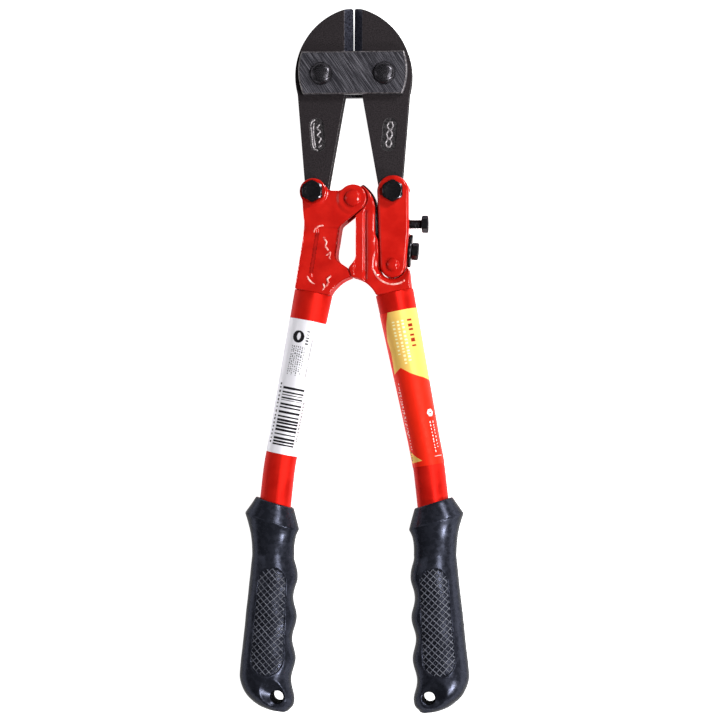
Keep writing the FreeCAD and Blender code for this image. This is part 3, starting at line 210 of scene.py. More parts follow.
plate_steel = scratched_plate()
pitted = surface(
    "pitted_recess", srgb(18, 17, 18), srgb(66, 63, 65), (0.35, 0.5), (1.3, 6.0),
    [(1.4, 0.14, EVEN, 0), (3.5, 0.05, EVEN, 0)], metallic=0.5,
)
# Lighter vinyl for the pads' rib crests: partly rubbed wear, partly painted highlight.
vinyl_wear_and_highlight = surface(
    "vinyl_wear_and_highlight", srgb(70, 72, 82), srgb(104, 106, 116), (0.26, 0.38), (0.8, 5.0),
    [(4, 0.01, EVEN, 0)], ior=1.4,
)
# Darker red for the left panel's wall: painted shade, standing for the soft dark line along that
# wall.
painted_shade_enamel = surface(
    "painted_shade_enamel", srgb(122, 12, 9), srgb(152, 17, 12), (0.45, 0.6), (0.3, 3.0),
    [(1.3, 0.05, EVEN, 0)], ior=1.1,
)
# Pale pink specks over red: painted highlight, standing for the glints on the raised marks, corner
# folds and the lip round the link's foot.
painted_highlight_enamel = surface(
    "painted_highlight_enamel", srgb(196, 30, 20), srgb(255, 206, 196), (0.15, 0.3), (0.4, 4.0),
    [(3, 0.01, EVEN, 0)],
)
# Near-black for the inside of the hang holes: painted shade.
painted_shade_bore = surface(
    "painted_shade_bore", srgb(8, 8, 10), srgb(14, 14, 17), (0.8, 0.95), (0.6, 3.0), [], ior=1.05,
)


def printed_film(name, roughness):
    """Satin film whose print is the mesh's own colour attribute."""
    made = bpy.data.materials.new(name)
    made.use_nodes = True
    tree = made.node_tree
    shader = tree.nodes["Principled BSDF"]
    shader.inputs["IOR"].default_value = 1.22
    shader.inputs["Metallic"].default_value = 0.25
    ink = add_node(tree, "Attribute")
    ink.attribute_name = "print"
    tree.links.new(ink.outputs["Color"], shader.inputs["Base Color"])
    place = add_node(tree, "TexCoord").outputs["Object"]
    creases = noise(tree, place, 0.18, 2.0, (1, 3, 1), 11)
    bump = add_node(tree, "Bump", Height=creases, Distance=0.12 * MM)
    tree.links.new(bump.outputs["Normal"], shader.inputs["Normal"])
    clouds = noise(tree, place, 0.3, 4.0)
    tree.links.new(
        spread(tree, clouds, roughness - 0.05, roughness + 0.08), shader.inputs["Roughness"]
    )
    return made


# ---------------------------------------------------------------- building meshes


def add_piece(name, mesh, materials, body, slot, *stands_for):
    """Show a mesh as a piece that rides on a body and stands for CAD nodes."""
    obj = bpy.data.objects.new(name, mesh)
    bpy.context.scene.collection.objects.link(obj)
    # clear() also resets the faces' material indices, so a new mesh is left as it is
    if mesh.materials:
        mesh.materials.clear()
    for each in materials:
        mesh.materials.append(each)
    mesh.shade_smooth()
    if stands_for:
        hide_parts(*stands_for)
    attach(obj, body)
    return obj


def shells_mesh(name, shells, place=Matrix.Identity(4), ring_closed=False):
    """A mesh of shells, each an array of rings of points in the frame that place gives."""
    points, faces = [], []
    turn = np.array(place)
    for rings in shells:
        rings = np.asarray(rings, float)
        count, around = rings.shape[:2]
        first = sum(len(p) for p in points)
        points.append(rings.reshape(-1, 3) @ turn[:3, :3].T + turn[:3, 3])
        for i in range(count if ring_closed else count - 1):
            here, there = first + i * around, first + (i + 1) % count * around
            for j in range(around):
                k = (j + 1) % around
                faces.append((here + j, there + j, there + k, here + k))
        if not ring_closed:
            faces.append([first + j for j in range(around)])
            last = first + (count - 1) * around
            faces.append([last + j for j in reversed(range(around))])
    mesh = bpy.data.meshes.new(name)
    mesh.from_pydata((np.concatenate(points) * MM).tolist(), [], faces)
    mesh.validate()
    return mesh


def angles(around):
    return np.linspace(0, 2 * math.pi, around, endpoint=False)


def ring(radius, height, around=96):
    """One ring of points; the radius and height may vary round it."""
    turn = angles(around)
    radius, height = np.broadcast_to(radius, around), np.broadcast_to(height, around)
    return np.column_stack([radius * np.cos(turn), radius * np.sin(turn), height])


def turned(profile, around=96):
    """Rings of a turned shape from a profile of (radius, height)."""
    return [ring(max(radius, 0.02), height, around) for radius, height in profile]


def hex_edge(flats, around=96):
    """Distance from the axis to the side of a hexagon that has corners on the Y axis."""
    turn = (angles(around) + math.pi / 6) % (math.pi / 3) - math.pi / 6
    return np.minimum(flats / 2 / np.cos(turn), 0.552 * flats)


def hexagon(flats, low, high, both=False):
    """Rings of a hexagon with a conical chamfer on top, and below too if both."""
    edge, flat, slope = hex_edge(flats), 0.465 * flats, 0.6
    rings = [ring(0.02, high - 0.2), ring(0.6 * flat, high - 0.2), ring(0.8 * flat, high - 0.08)]
    rings.append(ring(0.96 * flat, high))
    for share in np.linspace(0, 1, 6):
        radius = flat + (edge - flat) * share
        rings.append(ring(radius, high - 0.03 - (radius - flat) * slope))
    if both:
        for share in np.linspace(1, 0, 6):
            radius = flat + (edge - flat) * share
            rings.append(ring(radius, low + 0.03 + (radius - flat) * slope))
        rings.append(ring(0.9 * flat, low))
    else:
        rings.append(ring(edge, low + 0.35))
        rings.append(ring(edge - 0.15, low + 0.2))
        rings.append(ring(0.97 * flat, low + 0.18))
        rings.append(ring(0.97 * flat, low))
    rings.append(ring(0.5 * flat, low))
    return rings


def thread(radius, pitch, low, high, around=48, per_pitch=10):
    """Rings of a threaded rod, chamfered at both ends."""
    turn = angles(around)
    rings = []
    for height in np.linspace(low, high, int((high - low) / pitch * per_pitch) + 1):
        wave = np.abs((height / pitch - turn / (2 * math.pi)) % 1 * 2 - 1)
        depth = 0.58 * pitch * np.clip(1.3 * wave - 0.15, 0, 1)
        from_end = min(height - low, high - height)
        limit = radius - max(0.0, 0.75 - from_end)
        rings.append(ring(np.minimum(radius - depth, limit), height, around))
    return rings


def ease(x, low, high):
    t = np.clip((x - low) / (high - low), 0, 1)
    return t * t * (3 - 2 * t)


def lumps(points, size, seed):
    """Soft unevenness between about -1 and 1, with waves of roughly that size in mm."""
    rng = np.random.default_rng(seed)
    total = np.zeros(len(points))
    for _ in range(9):
        wave = rng.normal(size=3)
        wave *= 2 * math.pi / size / np.linalg.norm(wave) * rng.uniform(0.6, 1.5)
        total += np.sin(points @ wave + rng.uniform(0, 6.28))
    return total / 4.0


def inside(points, corners):
    """How far inside a polygon each point's X and Y lie, negative outside."""
    flat = points[:, :2]
    nearest = np.full(len(flat), 1e9)
    within = np.zeros(len(flat), bool)
    for a, b in zip(corners, corners[1:] + corners[:1]):
        a, b = np.array(a, float), np.array(b, float)
        along = b - a
        share = np.clip((flat - a) @ along / (along @ along), 0, 1)
        away = np.linalg.norm(flat - a - share[:, None] * along, axis=1)
        nearest = np.minimum(nearest, away)
        if a[1] != b[1]:
            crosses = (a[1] > flat[:, 1]) != (b[1] > flat[:, 1])
            at = a[0] + (flat[:, 1] - a[1]) * along[0] / along[1]
            within ^= crosses & (flat[:, 0] < at)
    return np.where(within, nearest, -nearest)


def near(points, centre):
    return np.hypot(points[:, 0] - centre[0], points[:, 1] - centre[1])


def plain_mesh(mesh):
    """Drop the imported normals, so that modifiers can make their own."""
    for key in ("custom_normal", "sharp_edge", "sharp_face"):
        if key in mesh.attributes:
            mesh.attributes.remove(mesh.attributes[key])
    mesh.shade_smooth()


def moulded(node, voxel, rounds):
    """A copy of a CAD node's mesh with all its edges rounded over."""
    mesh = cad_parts[node].data.copy()
    plain_mesh(mesh)
    copy = bpy.data.objects.new(f"{node}_copy", mesh)
    bpy.context.scene.collection.objects.link(copy)
    remesh = copy.modifiers.new("remesh", "REMESH")
    remesh.mode = "VOXEL"
    remesh.voxel_size = voxel * MM
    smooth = copy.modifiers.new("smooth", "SMOOTH")
    smooth.factor = 0.5
    smooth.iterations = rounds
    graph = bpy.context.evaluated_depsgraph_get()
    result = bpy.data.meshes.new_from_object(copy.evaluated_get(graph))
    bpy.data.objects.remove(copy)
    result.name = f"{node}_moulded"
    return result


def points_of(mesh):
    points = np.empty(len(mesh.vertices) * 3)
    mesh.vertices.foreach_get("co", points)
    points = points.reshape(-1, 3) / MM
    points[:, 2] -= MID
    return points


def push(mesh, shift):
    """Move the vertices by what shift(points, normals) gives, in millimetres."""
    points = points_of(mesh)
    normals = np.empty(len(points) * 3)
    mesh.vertices.foreach_get("normal", normals)
    points += shift(points, normals.reshape(-1, 3))
    points[:, 2] += MID
    mesh.vertices.foreach_set("co", (points * MM).ravel())
    mesh.update()


def along_z(points, normals, sink):
    """A shift that sinks the two broad faces by so much towards the middle plane."""
    facing = ease(np.abs(normals[:, 2]), 0.25, 0.75) * (normals[:, 2] * points[:, 2] > 0)
    shift = np.zeros_like(points)
    shift[:, 2] = -np.sign(points[:, 2]) * sink * facing
    return shift


def edged(node, width, materials, angle=28.0, edge_material=0):
    """Round the edges of a CAD node as shown and give it its materials."""
    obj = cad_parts[node]
    plain_mesh(obj.data)
    obj.data.materials.clear()
    for each in materials:
        obj.data.materials.append(each)
    weld = obj.modifiers.new("weld", "WELD")
    weld.merge_threshold = 0.002 * MM
    planes = obj.modifiers.new("planes", "DECIMATE")
    planes.decimate_type = "DISSOLVE"
    planes.angle_limit = math.radians(0.4)
    planes.delimit = {"MATERIAL"}
    bevel = obj.modifiers.new("bevel", "BEVEL")
    bevel.width = width * MM
    bevel.segments = 3
    bevel.limit_method = "ANGLE"
    bevel.angle_limit = math.radians(angle)
    bevel.material = edge_material
    bevel.harden_normals = False
    obj.modifiers.new("normals", "WEIGHTED_NORMAL")
    return obj


def stroke(start, end, width, height, floor):
    """A raised rounded bar on a broad face: rings along it from start to end."""
    start, end = Vector(start), Vector(end)
    along = (end - start).normalized()
    start, end = start - along * width * 0.3, end + along * width * 0.3
    across = Vector((-along.y, along.x))
    rings = []
    for share in np.linspace(0, 1, 17):
        spot = start + (end - start) * share
        from_end = min(share, 1 - share) * (end - start).length
        size = math.sqrt(max(0.02, 1 - max(0.0, 1 - from_end / (width / 2)) ** 2))
        turn = angles(12)
        rings.append(
            np.column_stack([
                spot.x + across.x * np.cos(turn) * width / 2 * size,
                spot.y + across.y * np.cos(turn) * width / 2 * size,
                floor + np.sin(turn) * height * size,
            ])
        )
    return rings


def strokes(name, paths, width, height, floor, material, body, slot):
    """Raised generic marks: bars along paths on the front at a height, and on the back."""
    lines = [pair for path in paths for pair in zip(path[:-1], path[1:])]
    shells = [stroke(a, b, width, height, at) for at in (floor, -floor) for a, b in lines]
    mesh = shells_mesh(name, shells, Matrix.Translation((0, 0, MID)))
    add_piece(name, mesh, [material], body, slot)


# ---------------------------------------------------------------- cutting head

RECESS = (18.2, 113.5)
RECESS_HALF_WIDTH, RECESS_HALF_LENGTH = 4, 9
RECESS_FLOOR = 4.98
LEAN = math.radians(5.5)
BEVEL_REACH = 5.2


def in_recess(side, u, v):
    """X and Y of a place in a leg's oval recess, u across and v along it."""
    x = RECESS[0] + u * math.cos(LEAN) + v * math.sin(LEAN)
    return side * x, RECESS[1] - u * math.sin(LEAN) + v * math.cos(LEAN)


def recess_marks(side):
    """A chain of rings on the right; a rim, bars and a zigzag on the left."""
    if side > 0:
        knots = []
        for middle in (-4.4, 0.0, 4.4):
            turns = [math.radians(60 * i) for i in range(7)]
            loop = [(1.5 * math.cos(t), middle + 2.1 * math.sin(t)) for t in turns]
            knots.append(loop)
    else:
        knots = [
            [(1.6, -6.0), (1.9, -2.0), (1.9, 2.5), (1.2, 6.2)],
            [(-1.6, 5.2), (0.2, 3.4), (-1.7, 1.6), (0.3, -0.2), (-1.7, -2.0), (-0.2, -4.0)],
            [(-1.4, -5.4), (0.2, -6.2)],
            [(0.6, 7.9), (2.3, 6.9), (2.9, 5.0), (2.9, -5.0), (2.3, -6.9), (0.6, -7.9)],
        ]
    return [[in_recess(side, *spot) for spot in loop] for loop in knots]


# Half of a jaw rivet, (radius, height), from the middle of its slightly domed top to the strap.
RIVET = [
    (0.0, 12.6), (2.0, 12.57), (3.4, 12.42), (4.0, 12.2), (4.5, 11.85), (5.0, 11.35),
    (5.4, 10.8), (5.65, 10.25), (5.8, 9.7), (5.8, 9.0),
]

JAW_MATERIALS = [forging, worn_edge, ground, pitted, forging_flank]


def jaw_material(face):
    """Index of a jaw face's material: broad face, bevel, recess floor or flank."""
    x, y, z = face.center / MM
    in_oval = abs(y - RECESS[1]) < RECESS_HALF_LENGTH and abs(abs(x) - RECESS[0]) < RECESS_HALF_WIDTH
    if in_oval and abs(face.normal.z) > 0.9 and abs(z - MID) < RECESS_FLOOR + 0.32:
        return JAW_MATERIALS.index(pitted)
    if abs(x) < BEVEL_REACH and 0.25 < abs(face.normal.x) < 0.95:
        return JAW_MATERIALS.index(ground)
    if abs(face.normal.z) < 0.5:
        return JAW_MATERIALS.index(forging_flank)
    return JAW_MATERIALS.index(forging)


for side, name in ((-1, "left"), (1, "right")):
    jaw = edged(f"{name}_jaw", 0.34, JAW_MATERIALS, 22.0, JAW_MATERIALS.index(worn_edge))
    for face in jaw.data.polygons:
        face.material_index = jaw_material(face)
    rivet_mesh = shells_mesh(
        f"{name}_rivet", [turned(RIVET + [(r, -h) for r, h in reversed(RIVET)])],
        Matrix.Translation((side * JAW_PIVOT[0], JAW_PIVOT[1], MID)),
    )
    add_piece(
        f"{name}_rivet_heads", rivet_mesh, [rivet_steel], "head", "rivet_steel",
        f"{name}_jaw_rivet",
    )
    strokes(
        f"{name}_jaw_marks", recess_marks(side), 0.95, 0.55, RECESS_FLOOR, crest_wear_and_highlight,
        f"{name}_blade", "black_forging",
    )
for name in ("front_strap", "back_strap"):
    edged(name, 0.3, [plate_steel, worn_edge], 28.0, 1)


# ---------------------------------------------------------------- painted forgings

LIP_RADIUS = 9.9
FLAT_EDGE, FLAT_TOP = 6.6, 75.5
RIDGE_X, RIDGE_TOP = 9.0, 72.6
LEFT_PANEL = [
    (-17.8, 66.6), (-18.8, 58.0), (-20.9, 45.0), (-20.4, 41.0), (-17.6, 39.4), (-11.0, 44.5),
    (-7.0, 50.0), (0.0, 51.0), (0.0, 66.6), (-8.0, 66.6),
]


def left_head_relief(points, normals):
    """Bosses stand up, and the arm is sunk; its hollow panel fades out at the lower right."""
    bolt = near(points, (-JAW_BOLT[0], JAW_BOLT[1]))
    knuckle = near(points, HANDLE_PIVOT)
    arm = ease(bolt, 6.0, 8.0) * ease(knuckle, 6.4, 8.8) * ease(points[:, 1], 32, 42)
    lower_right = (points[:, 1] - points[:, 0] - 57.0) / math.sqrt(2)
    panel = ease(inside(points, LEFT_PANEL), -0.25, 0.45) * ease(lower_right, -0.5, 7.0)
    sink = 0.75 * arm + 0.55 * panel
    sink += 0.45 * ease(6.15 - bolt, 0, 0.6)
    shift = along_z(points, normals, sink)
    return shift + normals * (0.08 * lumps(points, 9.0, 3))[:, None]


def right_head_relief(points, normals):
    """A flat and a round-topped ridge run down the arm; a lip runs round the link's foot."""
    x, y = points[:, 0], points[:, 1]
    on_arm = ease(y, 41, 45) * (x < 11.6) * (x > 0.8)
    flat = 0.55 * ease(FLAT_EDGE - x, 0, 0.8) * ease(FLAT_TOP - y, 0, 2.5)
    past_end = np.maximum(0, y - RIDGE_TOP)
    ridge = 0.2 * np.minimum((np.hypot(x - RIDGE_X, past_end) / 2.1) ** 2, 2.4)
    ridge *= (x > 6.2) * ease(79.5 - y, 0, 3.0)
    sink = (flat + ridge) * on_arm
    around_pin = near(points, LINK_PIN)
    lip = np.clip((10.6 - around_pin) / 3.3, 0, 1) ** 2
    sink += 1.7 * lip * (np.abs(points[:, 2]) > 7)
    shift = along_z(points, normals, sink)
    return shift + normals * (0.08 * lumps(points, 9.0, 5))[:, None]


HEAD_MATERIALS = [enamel, black_oxide, flank_enamel, painted_shade_enamel]


def head_material(name, face):
    """Index of a head face's material; the core inside the right link's fold is coloured black as
    painted shade, and the left panel's wall darker red as painted shade.
    """
    x, y, z = face.center / MM
    # Black on the right head's core beside the link is painted shade, for the dark gap between head
    # and link.
    shaded_core = abs(z - MID) < 6.3 and y > 61 and math.hypot(x, y - 77.5) > 10
    if name == "right" and shaded_core and x > 3:
        return HEAD_MATERIALS.index(black_oxide)
    if abs(face.normal.z) < 0.25:
        return HEAD_MATERIALS.index(flank_enamel)
    # Faces along the left panel's wall get the darker red: painted shade.
    panel_wall = -18.8 - 0.16 * (58.0 - y)
    if abs(x - panel_wall) < 1.0 and 43.5 < y < 64:
        return HEAD_MATERIALS.index(painted_shade_enamel)
    return HEAD_MATERIALS.index(enamel)


for name, relief in (("left", left_head_relief), ("right", right_head_relief)):
    mesh = moulded(f"{name}_handle_head", 0.38, 7)
    push(mesh, relief)
    add_piece(
        f"{name}_head_forging", mesh, HEAD_MATERIALS, f"{name}_handle", "red_forging",
        f"{name}_handle_head",
    )
    for face in mesh.polygons:
        face.material_index = head_material(name, face)

# The raised marks and folds below are coloured with the pale pink painted highlight.
head_marks = [
    [(-14.8, 61.5), (-13.2, 59.2), (-13.9, 57.0), (-12.4, 55.0)],
    [(-13.4, 52.6), (-11.2, 54.0), (-11.9, 51.0), (-10.6, 50.2)],
    [(-12.4, 48.6), (-11.4, 47.6)],
]
strokes(
    "left_head_marks", head_marks, 1.0, 0.5, PANEL_FLOOR, painted_highlight_enamel, "left_handle",
    "red_forging",
)
corner_folds = [
    [(-19.6, 64.2), (-19.0, 65.9), (-17.2, 67.2), (-14.9, 67.5)],
    [(-23.0, 42.0), (-22.2, 40.4), (-20.8, 38.9), (-19.0, 37.9)],
]
strokes(
    "left_head_folds", corner_folds, 0.9, 0.35, ARM_FLOOR, painted_highlight_enamel, "left_handle",
    "red_forging",
)
collar_folds = [
    [(-15.4, 34.6), (-14.2, 36.4), (-14.8, 38.0)],
    [(-13.4, 36.8), (-12.2, 38.8), (-12.9, 40.4), (-11.0, 42.0)],
]
strokes(
    "left_collar_folds", collar_folds, 0.9, 0.5, COLLAR_FLOOR, painted_highlight_enamel, "left_handle",
    "red_forging",
)
# The lip's arc is coloured with the pale pink painted highlight.
lip_arc = [
    (LINK_PIN[0] + LIP_RADIUS * math.cos(t), LINK_PIN[1] + LIP_RADIUS * math.sin(t))
    for t in np.radians(np.arange(196, 316, 10))
]
strokes(
    "right_head_lip", [lip_arc], 1.0, 0.3, HEAD_HALF - 0.15, painted_highlight_enamel, "right_handle",
    "red_forging",
)

# ---------------------------------------------------------------- link, pins and bolts

edged("adjusting_link", 0.5, [sheet_red])


def domed(radius, seat, rise, lip, flatness=1.0):
    """Profile of a pin from one painted dome to the other, with a soft lip at each base."""
    half = []
    for share in np.linspace(0, 1, 20):
        swing = share * math.pi / 2
        height = rise * math.cos(swing) ** flatness
        half.append((radius * math.sin(swing) ** 0.8, seat + height))
    for share in np.linspace(0, 1, 5)[1:]:
        half.append((radius + lip * share**2, seat - 0.25 * share))
    half.append((radius - 1.0, seat - 0.5))
    return half + [(r, -h) for r, h in reversed(half)]


def upright(x, y):
    return Matrix.Translation((x, y, MID))


pivot_mesh = shells_mesh(
    "handle_pivot", [turned(domed(4.2, 8.9, 2.2, 0.8, 0.5))], upright(*HANDLE_PIVOT)
)
add_piece(
    "handle_pivot_dome", pivot_mesh, [enamel], "left_handle", "red_forging", "handle_pivot_rivet"
)
pin_mesh = shells_mesh("link_pin", [turned(domed(3.3, LINK_HALF, 1.65, 0.5))], upright(*LINK_PIN))
add_piece("link_pin_dome", pin_mesh, [sheet_red], "link", "red_sheet", "link_pivot_pin")

for side, name, seat, body in (
    (-1, "left", HEAD_HALF, "left_handle"),
    (1, "right", LINK_HALF, "link"),
):
    place = upright(side * JAW_BOLT[0], JAW_BOLT[1])
    end = -(seat + 4.6)
    bolt = shells_mesh(
        f"{name}_bolt",
        [hexagon(M6_FLATS, seat - 0.5, seat + 4), thread(M6_RADIUS, M6_PITCH, end, seat)],
        place,
    )
    bolt.set_sharp_from_angle(angle=math.radians(30))
    add_piece(
        f"{name}_hex_bolt", bolt, [black_oxide], body, "black_fastener", f"{name}_jaw_bolt"
    )
    rings = hexagon(M6_FLATS, end, -seat + 0.3, both=True)
    hole = [ring(2.75, -seat + 0.3), ring(2.75, end + 0.6), ring(3.3, end)]
    nut = shells_mesh(f"{name}_nut", [rings[3:-1] + hole[::-1]], place, ring_closed=True)
    nut.set_sharp_from_angle(angle=math.radians(30))
    add_piece(f"{name}_hex_nut", nut, [black_oxide], body, "black_fastener", f"{name}_jaw_nut")

screw_place = upright(*SETTING_SCREW) @ ALONG_X
screw = shells_mesh(
    "screw",
    [hexagon(M5_FLATS, 0, 3.5, both=True), thread(M5_RADIUS, M5_PITCH, -16, 0.2)],
    screw_place,
)
screw.set_sharp_from_angle(angle=math.radians(38))
add_piece(
    "setting_screw_m5", screw, [black_oxide], "setting_screw", "black_fastener", "adjusting_screw"
)
lock_place = upright(*LOCK_SEAT) @ Matrix.Rotation(math.radians(LOCK_LEAN), 4, "Z") @ ALONG_X
lock = shells_mesh(
    "lock",
    [hexagon(M5_FLATS, 1.5, 5.0, both=True), thread(M5_RADIUS, M5_PITCH, -9, 1.6)],
    lock_place,
)
lock.set_sharp_from_angle(angle=math.radians(38))
add_piece("lock_bolt_m5", lock, [black_oxide], "lock", "black_fastener", "lock_bolt")
washer_profile = [
    (2.6, 0.0), (7.9, 0.0), (8.2, 0.12), (8.35, 0.4), (8.35, 1.0), (8.2, 1.3), (7.9, 1.5),
    (5.5, 1.5), (2.6, 1.5),
]
washer = shells_mesh("washer", [turned(washer_profile)], lock_place, ring_closed=True)
washer.set_sharp_from_angle(angle=math.radians(40))
add_piece("lock_plate_washer", washer, [black_oxide], "lock", "black_fastener", "lock_washer")


# ---------------------------------------------------------------- tubes and labels

for name in ("left", "right"):
    edged(f"{name}_tube", 0.3, [tube_red], 40.0)


TUBE_TOP, TUBE_LEAN = (20.5, 34.07), math.radians(11.2)
BEND_START, BEND_RADIUS = 84.0, 120.0
FILM_GAP = 0.13


def tube_place(side, distance):
    """Centre of a tube at a distance from its upper end, and the unit vector across it."""
    turn = max(0.0, distance - BEND_START) / BEND_RADIUS
    x = -side * BEND_RADIUS * (1 - math.cos(turn))
    y = -min(distance, BEND_START) - BEND_RADIUS * math.sin(turn)
    slope = side * (TUBE_LEAN - turn)
    spin = side * TUBE_LEAN
    centre = Vector((
        side * TUBE_TOP[0] + x * math.cos(spin) - y * math.sin(spin),
        TUBE_TOP[1] + x * math.sin(spin) + y * math.cos(spin),
    ))
    return centre, Vector((math.cos(slope), math.sin(slope)))


def tube_radius(distance):
    """The tube tapers from its flared upper end and is straight below."""
    return 8.0 + 1.7 * max(0.0, 1 - distance / 75.0)


def broken(place, start, end, low, high, seed):
    """True on the inked stretches of a broken line between start and end."""
    rng = np.random.default_rng(seed)
    steps = np.cumsum(rng.uniform(low, high, int((end - start) / low) + 2))
    count = np.searchsorted(steps, place - start)
    return (place > start) & (place < end) & (count % 2 == 0)


def between(values, low, high):
    return (values > low) & (values < high)


INK = srgb(26, 24, 28)
FILM_WHITE = srgb(236, 234, 240)
FILM_RED = srgb(232, 38, 16)
FILM_YELLOW = srgb(240, 196, 100)


# A print's w runs round the tube from its top line, and s runs down from the film's upper edge.


def white_print(w, s):
    """Generic notice: an icon, broken lines of small print and a block of plain bars."""
    colour = np.tile(FILM_WHITE, (len(w), 1))
    disc = np.hypot(w + 2.4, s - 8.8)
    dark = disc < 3.1
    dark &= np.hypot(w + 2.2, (s - 8.6) / 2.0) >= 0.95
    dark |= between(w, 1.6, 3.1) & broken(s, 5.2, 12.8, 0.55, 0.95, 1)
    dark |= between(w, 4.9, 5.2) & between(s, 5.4, 29.0)
    for i in range(7):
        dark |= between(w, -4.9 + 1.1 * i, -4.35 + 1.1 * i) & broken(
            s, 13.6, 28.4 - 1.3 * (i % 2), 0.3, 0.9, 20 + i
        )
    dark |= between(w, -5.4, 6.1) & broken(s, 34.6, 64.4, 0.45, 1.35, 5)
    dark |= between(w, -8.0, -6.8) & broken(s, 33.0, 63.8, 0.7, 1.3, 6)
    dark |= between(w, 7.1, 7.8) & broken(s, 41.0, 62.0, 0.5, 1.1, 7)
    colour[dark] = INK
    return colour


YELLOW_AREA = [
    (-5.3, -1), (-5.3, 0), (-8.1, 7), (-9.7, 13.5), (-8.4, 20.5), (-9.3, 31), (-4.0, 28.4),
    (0.5, 32), (4.5, 34.2), (10, 36.4), (16, 38), (40, 38), (40, -1),
]
YELLOW_FLAG = [(-10.4, 69.8), (-2.4, 76.2), (-10.4, 76.8)]


def yellow_print(w, s):
    """Generic packing film: a yellow field with a swallowtail foot over a red one."""
    colour = np.tile(FILM_RED, (len(w), 1))
    here = np.column_stack([w, s])
    yellow = (inside(here, YELLOW_AREA) > 0) | (inside(here, YELLOW_FLAG) > 0)
    colour[yellow] = FILM_YELLOW
    shade = between(w, 4.0, 6.4) & broken(s, 5.0, 19.0, 0.9, 1.9, 11)
    colour[shade] = srgb(150, 40, 20)
    for i, (at, end) in enumerate(((-3.9, 22.0), (-1.4, 27.0), (0.9, 26.0))):
        pale = between(w, at, at + 1.3) & broken(s, 5.0, end, 0.6, 1.2, 30 + i)
        colour[pale] = srgb(255, 246, 190)
    white = between(w, -7.9, -7.4) & broken(s, 36, 70, 0.4, 1.2, 12)
    white |= between(w, -9.0, -8.6) & broken(s, 40, 62, 0.4, 1.0, 13)
    white |= between(w, 5.4, 5.8) & broken(s, 57.5, 73.5, 0.4, 1.1, 14)
    white |= between(w, 7.4, 7.8) & broken(s, 57.5, 71.0, 0.4, 1.1, 15)
    white |= between(s, 75.0, 75.2) & between(w, 4.4, 9.5)
    across, down = np.abs(w - 6.8), np.abs(s - 53.2)
    white |= (np.maximum(across * 0.866 + down * 0.5, down) < 1.75) & (across + down > 0.7)
    colour[white] = srgb(250, 244, 240)
    mark = between(w, -9.8, -8.6) & broken(s, 70.8, 75.8, 0.5, 0.9, 16)
    colour[mark & yellow] = srgb(60, 30, 10)
    return colour


def film(side, start, length, painter, name, step=0.17):
    """The film round a tube, with its print as a colour attribute and a step at the overlap."""
    rows = int(length / step)
    around = int(2 * math.pi * 9.0 / step)
    distances = np.linspace(start, start + length, rows)
    turn = np.linspace(-math.pi, math.pi, around)
    points = np.empty((rows, around, 3))
    arc = np.empty((rows, around))
    for i, distance in enumerate(distances):
        centre, across = tube_place(side, distance)
        radius = tube_radius(distance) + FILM_GAP
        overlap = 0.02 + 0.10 * ease(turn, 2.95, 3.14)
        reach = (radius + overlap) * np.sin(turn)
        points[i, :, 0] = centre.x + across.x * reach
        points[i, :, 1] = centre.y + across.y * reach
        points[i, :, 2] = MID + (radius + overlap) * np.cos(turn)
        arc[i] = radius * turn
    corner = np.arange(rows * around).reshape(rows, around)
    faces = np.stack(
        [corner[:-1, :-1], corner[1:, :-1], corner[1:, 1:], corner[:-1, 1:]], axis=-1
    ).reshape(-1, 4)
    mesh = bpy.data.meshes.new(name)
    mesh.from_pydata((points.reshape(-1, 3) * MM).tolist(), [], faces.tolist())
    ink = mesh.color_attributes.new(name="print", type="FLOAT_COLOR", domain="POINT")
    colour = painter(arc.ravel(), np.repeat(distances - start, around))
    ink.data.foreach_set("color", np.column_stack([colour, np.ones(len(colour))]).ravel())
    return mesh


white_film = film(-1, 14.5, 68.5, white_print, "white_film_mesh")
add_piece(
    "white_notice_film", white_film, [printed_film("white_film", 0.38)], "left_handle",
    "white_film", "left_label",
)
yellow_film = film(1, 9.8, 79.0, yellow_print, "yellow_film_mesh")
add_piece(
    "yellow_packing_film", yellow_film, [printed_film("yellow_film", 0.46)], "right_handle",
    "yellow_film", "right_label",
)


# ---------------------------------------------------------------- grips

PAD = (41.9, -131.4)
PAD_HALF_LENGTH = 27.2
PAD_PITCH = 2.35
PAD_LEAN = math.radians(3.8)


def pad_frame(side, points):
    """Across and along a pad for the X and Y of points; along runs up the grip."""
    cos, sin = math.cos(PAD_LEAN), math.sin(PAD_LEAN)
    dx, dy = side * points[:, 0] - PAD[0], points[:, 1] - PAD[1]
    return dx * cos + dy * sin, dy * cos - dx * sin


def pad_room(across, along):
    """How far inside the pad's rounded outline a place is."""
    half = 7.9 - 0.03 * along
    beyond = np.maximum(0, np.abs(along) - (PAD_HALF_LENGTH - half))
    return half - np.hypot(across, beyond)


def grip_relief(side):
    """A shift that sinks the pads, raises the parting line and makes the sleeve uneven."""

    def shift(points, normals):
        room = pad_room(*pad_frame(side, points))
        sink = 0.75 * ease(room, -0.1, 0.5)
        moved = along_z(points, normals, sink)
        seam = np.exp(-((points[:, 2] / 0.35) ** 2)) * 0.14
        outer = side * points[:, 0] > 42
        seam *= np.where(outer | (points[:, 1] < -90), 1, 0)
        return moved + normals * (seam - 0.2 + 0.07 * lumps(points, 12, 8))[:, None]

    return shift


